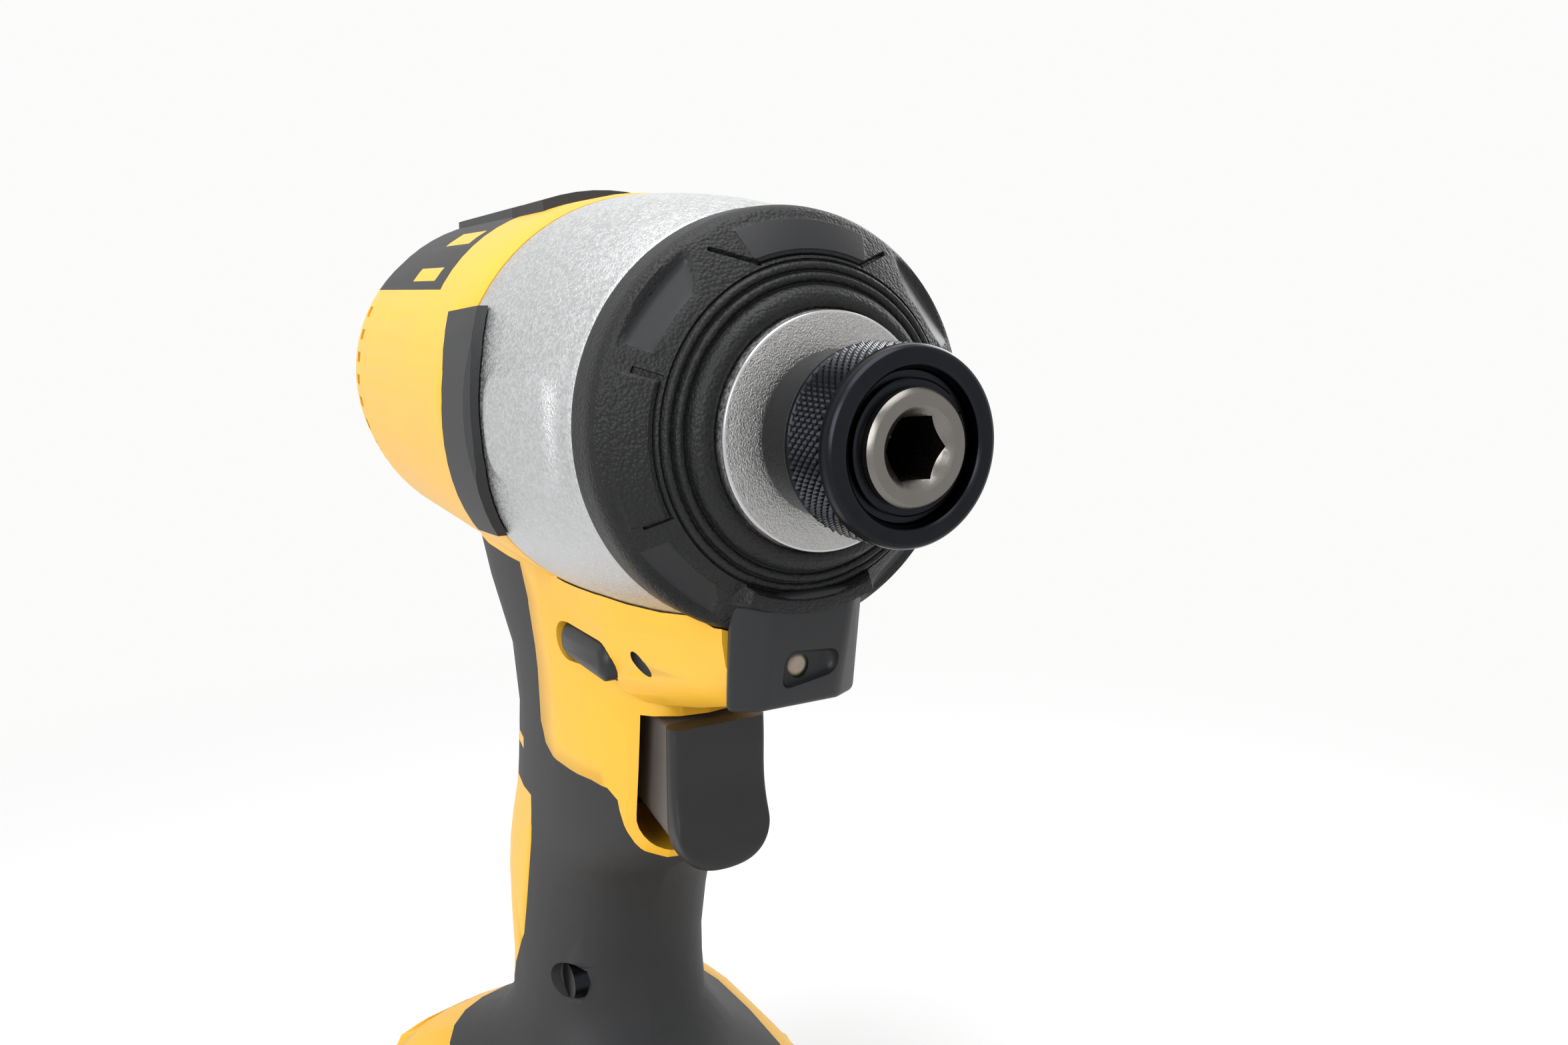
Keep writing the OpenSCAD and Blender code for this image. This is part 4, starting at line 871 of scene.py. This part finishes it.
disc = [(8.35, 16.5), (8.55, 16.2), (13.18, 16.2), (13.38, 16.26), (13.48, 16.4), (13.5, 16.6), (13.5, 18.5)]
under_bumper = [(18.5, 22.0), (22.6, 26.15), (22.6, 30.2), (24.85, 30.2), (24.95, 30.23)]
band_backs = [BAND_START + BAND_STEP * i for i in range(BAND_RINGS)]
band = [(mean_radius(back), back) for back in band_backs]
skirt = [(28.5, 61.6), (28.3, 61.88), (27.05, 61.88), (27.0, 79.6), (25.1, 79.6)]
hollow = [(25.1, 68.5), (24.25, 68.5), (24.25, 36.8), (21.05, 36.8), (21.05, 28.2), (10.3, 28.2),
          (10.3, 17.5), (8.35, 17.5)]
gear_case = turned(disc + under_bumper + band + skirt + hollow, 300)
gear_case.data.materials.append(finishes["cast_alloy"])
print("gear case turned:", len(gear_case.data.polygons), "faces")


# %% [markdown]
# The disc is blasted more finely than the rest and its colour is darker, which is painted shade on its
# front face, and its edge is machined bright, so their faces are picked by radius and painted. The side
# pads could be insets, but their corners are round and their edges soft. So the corners inside a
# round-cornered outline are scaled a little outward, four times with a smaller outline each time, and the
# edge is evened out.

# %% Disc and side pads
SIDE_PAD_BACK = 42.7
SIDE_PAD_UP = -1
SIDE_PAD_LONG = 5.5
SIDE_PAD_TALL = 3.5
SIDE_PAD_ROUND = 3.0
SIDE_PAD_LIFT = 1.0062
DISC_EDGE = 13.18


def on_disc(spot):
    """Whether a point lies on the flat front disc."""
    radius, back, _ = polar(spot)
    return radius < DISC_EDGE and back < 16.4


def on_disc_edge(spot):
    """Whether a point lies on the round edge of the disc."""
    radius, back, _ = polar(spot)
    return DISC_EDGE < radius < 13.6 and back < 16.7


def pad_reach(spot):
    """How far outside the round-cornered pad a point of the band lies, in millimetres."""
    out_back = max(abs(back_of(spot) - SIDE_PAD_BACK) - SIDE_PAD_LONG, 0)
    out_up = max(abs(up_of(spot) - SIDE_PAD_UP) - SIDE_PAD_TALL, 0)
    return math.hypot(out_back, out_up) - SIDE_PAD_ROUND


def on_band(spot):
    """Whether a point lies on the bare band of the case."""
    radius, back, _ = polar(spot)
    return 31 < back < 60 and radius > 24.9


for slot, finish, test in ((1, shaded_disc_blast, on_disc), (2, bright_edge, on_disc_edge)):
    gear_case.data.materials.append(finish)
    pick_faces(gear_case, test)
    paint(gear_case, slot)
for reach in (0.7, 0.25, -0.2, -0.65):
    stretch(gear_case, lambda spot: on_band(spot) and pad_reach(spot) < reach,
            (1, SIDE_PAD_LIFT, SIDE_PAD_LIFT), SPINDLE_POINT)
even_out(gear_case, lambda spot: on_band(spot) and abs(pad_reach(spot)) < 1.6, 2)
smooth_look(gear_case, 35)
ready(gear_case, "cast_gear_case", "frame", "cast_alloy", "gear_case")

# %% [markdown]
# The housing and the soft grip already have their true shape in the CAD model, but its curved walls
# are made of small flat facets. They could be modelled again, but a merged copy with averaged normals
# keeps every wall where it was, and stands for the solid.

# %% Skins over the moulded solids
SKIN_ANGLE = 32


def skin(node, round_mm=0, segments=3):
    """A copy of a CAD solid with merged corners, rounded edges and averaged normals."""
    pick(nodes[node])
    bpy.ops.object.duplicate()
    copy = bpy.context.object
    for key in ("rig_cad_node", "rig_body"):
        if key in copy:
            del copy[key]
    bpy.ops.object.parent_clear(type="CLEAR_KEEP_TRANSFORM")
    enter("EDIT")
    bpy.ops.mesh.select_all(action="SELECT")
    bpy.ops.mesh.remove_doubles(threshold=FINE_WELD)
    bpy.ops.mesh.dissolve_limited(angle_limit=math.radians(0.5))
    enter("OBJECT")
    if round_mm:
        soften(copy, round_mm, segments)
    smooth_look(copy, SKIN_ANGLE)
    if round_mm:
        modify(copy, "WEIGHTED_NORMAL", keep_sharp=True)
    return copy


def stand_for(copy, node):
    """Puts a skin in the place of its CAD solid."""
    ready(copy, node + "_skin", body_of(node), slot_of[node], node)


print("skins ready")

# %% [markdown]
# Each housing half has a small almond-shaped hollow ahead of the direction button. It is cut with a
# stretched ball, whose dark grip finish stays on the faces that it makes as painted shade. The well of
# the handle's screw is on the right half only, and its wall is given the dark grip finish as painted shade.

# %% Housing halves
PAINTED_SHADE_SLOT = 1
WELL = place(73, 0, -93)
WELL_RADIUS = 3.4


def cut_hollow_painted_dark(copy, left):
    """Cuts the almond-shaped hollow, whose faces get painted shade; left is the distance of its middle from
    the split.
    """
    start_clean()
    bpy.ops.mesh.primitive_uv_sphere_add(segments=32, ring_count=16, radius=MM)
    almond = bpy.context.object
    almond.scale = (2.5, 1.3, 1.15)
    almond.rotation_euler = (0, math.radians(45), 0)
    almond.location = place(40.2, left, -31.4)
    settle(almond)
    # The hollow's faces take this dark finish as painted shade.
    almond.data.materials.append(finishes["soft_grip"])
    cut(copy, almond)
    smooth_look(copy, SKIN_ANGLE)


def in_well(spot):
    """Whether a point lies in the well of the handle's screw."""
    return math.hypot(spot.x - WELL.x, spot.z - WELL.z) < WELL_RADIUS * MM


for node, left in (("housing_right", -12.8), ("housing_left", 12.8)):
    copy = skin(node)
    copy.data.materials.append(finishes["soft_grip"])
    cut_hollow_painted_dark(copy, left)
    if node == "housing_right":
        # The well's wall gets the dark grip finish as painted shade.
        pick_faces(copy, in_well)
        paint(copy, PAINTED_SHADE_SLOT)
    stand_for(copy, node)

# %% [markdown]
# The grip halves lie flush in the housing and keep their own edges. The pack's cases, its latch and
# the anvil have plain edges in the CAD model, so theirs are rounded as a mould or a lathe would.

# %% Grip, pack and anvil
for node in ("grip_right", "grip_left"):
    stand_for(skin(node), node)
for node in ("battery_top_case", "battery_bottom_case", "battery_latch"):
    stand_for(skin(node, round_mm=0.5), node)
stand_for(skin("anvil", round_mm=0.12, segments=2), "anvil")

# %% [markdown]
# The direction button is one bar that runs through the housing and is pushed from side to side, and
# its two ends are domed. It could be cut from a sphere, but then its ends would be pointed where the
# slot is round. So a bar gets round edges along its length, and each end is drawn out in three steps.

# %% Direction button
button = bar(16.8, 28.4, 5.4, place(55, 0, -33))
pick_edges(button, lambda spot, along: abs(along.y) > 0.9)
bpy.ops.mesh.bevel(offset=2.6 * MM, segments=8, affect="EDGES")
enter("OBJECT")
for way in (-1, 1):
    pick_faces(button, lambda spot: spot.y * way > 14.1 * MM)
    for inward, outward in ((0.45, 0.5), (0.6, 0.4), (0.7, 0.2)):
        bpy.ops.mesh.inset(thickness=inward * MM, depth=outward * MM)
    enter("OBJECT")
smooth_look(button, 60)
ready(button, "push_button", body_of("direction_button"), slot_of["direction_button"], "direction_button")

# %% [markdown]
# The lamp foot hangs below the bumper. It is one soft-edged black moulding: a slab whose front is
# drawn forward and narrowed, and leans back towards its lower edge. It could be lofted, but moving
# the corners of a bar and rounding its edges last keeps the faces few and the edges even.

# %% Lamp foot
LAMP_UP = -26.0
LAMP_LEAN = ((20, 21, True, 1.4), (20, 21, False, -1.6), (22.5, 23.2, True, 0.2), (22.5, 23.2, False, -1.2))
lamp_foot = bar(4.4, 18.4, 14.9, place(25.08, 0, LAMP_UP))
pick_faces(lamp_foot, lambda spot: back_of(spot) < 23)
bpy.ops.mesh.extrude_region_move(TRANSFORM_OT_translate={"value": (2.5 * MM, 0, 0)})
bpy.ops.transform.resize(value=(1, 0.61, 1), center_override=place(20.4, 0, LAMP_UP))
enter("OBJECT")
for nearest, farthest, upper, forward in LAMP_LEAN:
    shift(lamp_foot, lambda spot: nearest < back_of(spot) < farthest and (up_of(spot) > LAMP_UP) == upper,
          (forward * MM, 0, 0))
stretch(lamp_foot, lambda spot: back_of(spot) < 22.05 and up_of(spot) < LAMP_UP,
        (1, 0.9, 1), place(22, 0, LAMP_UP))
stretch(lamp_foot, lambda spot: back_of(spot) > 26, (1, 0.78, 1), place(27, 0, LAMP_UP))
soften(lamp_foot, 0.9, segments=5, angle=15)
lamp_foot.data.materials.append(finishes["black_plastic"])
print("lamp foot shaped:", len(lamp_foot.data.polygons), "faces")

# %% [markdown]
# The lens sits in a scooped window that is longer on the left. The scoop is cut with a rounded box
# that is less tall at its left end, and the lens hole is drilled blind. The lens is a short rod with
# a rounded front that fills the hole.

# %% Lamp window and lens
LENS_LEFT = -0.3
LENS_UP = -28.4
WINDOW_LEFT = 0.7


def rod(radius, length, spot, corners=48):
    """A round bar along the spindle's direction, with its middle at a point."""
    start_clean()
    bpy.ops.mesh.primitive_cylinder_add(vertices=corners, radius=radius * MM, depth=length * MM)
    obj = bpy.context.object
    obj.rotation_euler = (0, math.pi / 2, 0)
    obj.location = spot
    settle(obj)
    return obj


window = bar(3.2, 7.6, 5.2, place(20.8, WINDOW_LEFT, LENS_UP))
stretch(window, lambda spot: spot.y > WINDOW_LEFT * MM, (1, 1, 0.62), place(20.8, WINDOW_LEFT, -27.4))
soften(window, 1.4, segments=6)
drill = rod(1.5, 6, place(21.0, LENS_LEFT, LENS_UP))
soften(drill, 0.2)
for cutter in (window, drill):
    cutter.data.materials.append(finishes["black_plastic"])
    cut(lamp_foot, cutter)
smooth_look(lamp_foot)
ready(lamp_foot, "lamp_foot", "frame", slot_of["led_foot"], "led_foot")
lens = rod(1.52, 1.6, place(23.3, LENS_LEFT, LENS_UP))
pick_faces(lens, lambda spot: back_of(spot) < 22.8)
bpy.ops.mesh.bevel(offset=0.75 * MM, segments=8, affect="EDGES")
enter("OBJECT")
smooth_look(lens, 40)
ready(lens, "lamp_lens", body_of("led_lens"), "lens", "led_lens")


# %% [markdown]
# The trigger is a dark finger pad on a plainer slide. The pad is a block with a round tongue-shaped
# bottom, hollowed in front where the finger lies. A subdivision surface rounds it all over, and its
# top is then cut flat, to slide under the housing. The slide behind it is a different, browner plastic
# that shows at the sides of its slot, and a stem runs to the switch.

# %% Trigger pad
def tongue_block(front, back, half, top, bottom, corner_mm, segments):
    """A block in the trigger slot whose lower corners are cut or rounded in the front view."""
    block = bar(back - front, 2 * half, top - bottom, place((front + back) / 2, 0, (top + bottom) / 2))
    pick_edges(block, lambda spot, along: abs(along.x) > 0.9 and up_of(spot) < (top + bottom) / 2)
    bpy.ops.mesh.bevel(offset=corner_mm * MM, segments=segments, affect="EDGES")
    enter("OBJECT")
    return block


def slice_at(obj, level, **settings):
    """Cuts through a whole mesh at a height above the spindle."""
    pick(obj)
    enter("EDIT")
    bpy.ops.mesh.select_all(action="SELECT")
    bpy.ops.mesh.bisect(plane_co=place(0, 0, level), plane_no=(0, 0, 1), **settings)
    enter("OBJECT")


PAD_FRONT = 40.3
PAD_TOP = -39.6
PAD_CUT = -42.15
HOLLOW = {PAD_TOP: 2.4, -45.4: 2.1, -48.8: 2.2, -52.2: 2.0, -55.4: 1.0}
trigger = tongue_block(PAD_FRONT, 45.9, 7.3, PAD_TOP, -63.0, corner_mm=5.6, segments=3)
for level in list(HOLLOW)[1:]:
    slice_at(trigger, level)
for level, deep in HOLLOW.items():
    shift(trigger, lambda spot: abs(up_of(spot) - level) < 0.1 and back_of(spot) < PAD_FRONT + 0.1,
          (-deep * MM, 0, 0))
soften(trigger, 1.3, segments=2, angle=50)
modify(trigger, "SUBSURF", levels=3, render_levels=3)
slice_at(trigger, PAD_CUT, use_fill=True, clear_outer=True)
trigger.data.materials.append(finishes["black_plastic"])
print("trigger pad shaped:", len(trigger.data.polygons), "faces")

# %% Trigger slide and stem
slide = tongue_block(44.5, 60.2, 6.4, -42.5, -62.2, corner_mm=4.8, segments=9)
shift(slide, lambda spot: back_of(spot) > 60 and up_of(spot) < -56, (0, 0, 3.3 * MM))
soften(slide, 0.5, segments=3, angle=40)
stem = rod(2.95, 10.4, place(65.0, 0, -50.8), corners=32)
soften(stem, 0.4)
for piece in (slide, stem):
    piece.data.materials.append(slide_plastic)
join(trigger, slide, stem)
smooth_look(trigger, 40)
ready(trigger, "finger_trigger", body_of("trigger"), slot_of["trigger"], "trigger")

# %% [markdown]
# Three coil springs are hidden inside: the main spring behind the hammer, the one that returns the
# collar, and the one under the battery latch. The solids give only the room each takes. A coil could
# be a thick curve, but here the round wire is drawn once and screwed round its axis, so it is a closed
# mesh.

# %% Coil springs
WIRE_CORNERS = 12
STEPS_A_TURN = 36


def wound_wire(axis, wire, radius, run, turns):
    """A wire that winds round an axis through the origin, closed at both ends."""
    start_clean()
    bpy.ops.mesh.primitive_circle_add(vertices=WIRE_CORNERS, radius=wire / 2, rotation=(math.pi / 2, 0, 0))
    obj = bpy.context.object
    settle(obj)
    enter("EDIT")
    bpy.ops.mesh.select_all(action="SELECT")
    bpy.ops.transform.translate(value=(0, 0, radius) if axis == "X" else (radius, 0, 0))
    enter("OBJECT")
    modify(obj, "SCREW", axis=axis, angle=2 * math.pi, steps=STEPS_A_TURN, render_steps=STEPS_A_TURN,
           screw_offset=run / turns, iterations=turns)
    enter("EDIT")
    bpy.ops.mesh.select_all(action="SELECT")
    bpy.ops.mesh.fill_holes(sides=0)
    bpy.ops.mesh.select_all(action="SELECT")
    bpy.ops.mesh.normals_make_consistent(inside=False)
    enter("OBJECT")
    return obj


def coil(node, axis, wire_mm, turns, bodies):
    """A coil in the room of a CAD solid; bodies are those at its fixed end and its moving end."""
    low, high = (Vector(corner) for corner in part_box(node))
    along = "XYZ".index(axis)
    wire = wire_mm * MM
    radius = (high - low)[(along + 1) % 3] / 2 - wire / 2
    obj = wound_wire(axis, wire, radius, (high - low)[along] - wire, turns)
    first_turn = (low + high) / 2
    first_turn[along] = low[along] + wire / 2
    obj.location = first_turn
    settle(obj)
    smooth_look(obj, 60)
    obj.name = node + "_coil"
    obj.data.name = obj.name
    obj.data.materials.append(finishes[slot_of[node]])
    low_end = (low + high) / 2
    low_end[along] = low[along]
    high_end = (low + high) / 2
    high_end[along] = high[along]
    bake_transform(obj)
    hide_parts(node)
    print(obj.name, "between", " and ".join(bodies), ":", len(obj.data.polygons), "faces")


coil("hammer_spring", "X", 2.1, 4, ("spindle_body", "hammer_seat"))
coil("collar_spring", "X", 0.7, 3, ("anvil_body", "collar_body"))
coil("latch_spring", "Z", 0.7, 6, ("battery_body", "latch_body"))

# %% [markdown]
# The studio is plain: a pale floor under the battery that runs out into white, a white surround that
# the camera and the metals see, one large soft lamp above and weaker ones from the sides. The camera
# stands where the photograph's did, close in front of the nose, which is why the nose looks large.

# %% Floor
WHITE = (0.97, 0.968, 0.965, 1)
FLOOR_SIZE = 8
FADE_START = 0.12
FADE_END = 0.5
start_clean()
bpy.ops.mesh.primitive_plane_add(size=FLOOR_SIZE, location=(0, 0, -0.0002))
floor = bpy.context.object
floor.name = "floor"
pale = Finish("pale floor")
pale.dress(Base_Color=pale.mix(pale.noise(300), (0.84, 0.84, 0.84, 1), (0.88, 0.88, 0.88, 1)), Roughness=0.7)
far = pale.level("ShaderNodeVectorMath", {"operation": "LENGTH"}, {0: pale.here}, "Value")
fade = pale.level(
    "ShaderNodeMapRange", {"interpolation_type": "SMOOTHSTEP"}, {0: far, 1: FADE_START, 2: FADE_END})
glow = pale.level("ShaderNodeEmission", {}, {"Color": WHITE, "Strength": 1.0})
lit = Level(pale, pale.shader.outputs[0])
surface = pale.level("ShaderNodeMixShader", {}, {0: fade, 1: lit, 2: glow})
pale.feed(pale.tree.nodes["Material Output"].inputs["Surface"], surface)
floor.data.materials.append(pale.material)
print("floor", FLOOR_SIZE, "m, white from", FADE_END, "m outward")


# %% Lamps
def soft_lamp(name, spot, aim, size, watts):
    """A round area lamp that faces a point."""
    start_clean()
    bpy.ops.object.light_add(type="AREA", location=spot)
    lamp = bpy.context.object
    lamp.name = name
    lamp.data.shape = "DISK"
    lamp.data.size = size
    lamp.data.energy = watts
    lamp.rotation_euler = (Vector(aim) - Vector(spot)).to_track_quat("-Z", "Y").to_euler()
    print("lamp", name, watts, "W")


soft_lamp("overhead", (0.05, -0.1, 0.9), (0.0, 0, 0.15), size=0.8, watts=6.2)
soft_lamp("right_fill", (0.35, -0.7, 0.45), (0.0, 0, 0.14), size=0.6, watts=4.6)
soft_lamp("left_back", (-0.3, 0.7, 0.5), (0.0, 0, 0.14), size=0.5, watts=2.5)

# %% White surround
world = bpy.data.worlds.new("studio")
bpy.context.scene.world = world
world.use_nodes = True
studio = Graph(world.node_tree)
studio.tree.nodes.clear()
path = studio.add("ShaderNodeLightPath", {}, {}).outputs
to_camera, to_gloss, to_glass = (
    Level(studio, path[ray]) for ray in ("Is Camera Ray", "Is Glossy Ray", "Is Transmission Ray"))
mirrored = to_gloss.math("MAXIMUM", to_gloss, to_glass)
seen = to_camera.math("MAXIMUM", to_camera, mirrored)
dim = studio.level("ShaderNodeBackground", {}, {"Color": (0.95, 0.97, 1.0, 1), "Strength": 0.36})
white = studio.level("ShaderNodeBackground", {}, {"Color": WHITE, "Strength": 1.0})
surround = studio.level("ShaderNodeMixShader", {}, {0: seen, 1: dim, 2: white})
studio.add("ShaderNodeOutputWorld", {}, {"Surface": surround})
bpy.context.scene.view_settings.view_transform = "Standard"
print("surround: white where it is seen, dimmer as light")

# %% Camera
CAMERA_ROLL = 0.296
start_clean()
bpy.ops.object.camera_add(location=place(-94.66, -72.37, 15.0))
camera = bpy.context.object
camera.name = "camera"
camera.data.sensor_width = 36
camera.data.lens = 27.55
camera.data.clip_start = 0.005
aim = place(26.276, 0, -11.731) - camera.location
camera.rotation_euler = aim.to_track_quat("-Z", "Y").to_euler()
camera.rotation_euler.rotate_axis("Z", math.radians(CAMERA_ROLL))
bpy.context.scene.camera = camera
print("camera", tuple(round(v, 4) for v in camera.location), "lens", camera.data.lens)
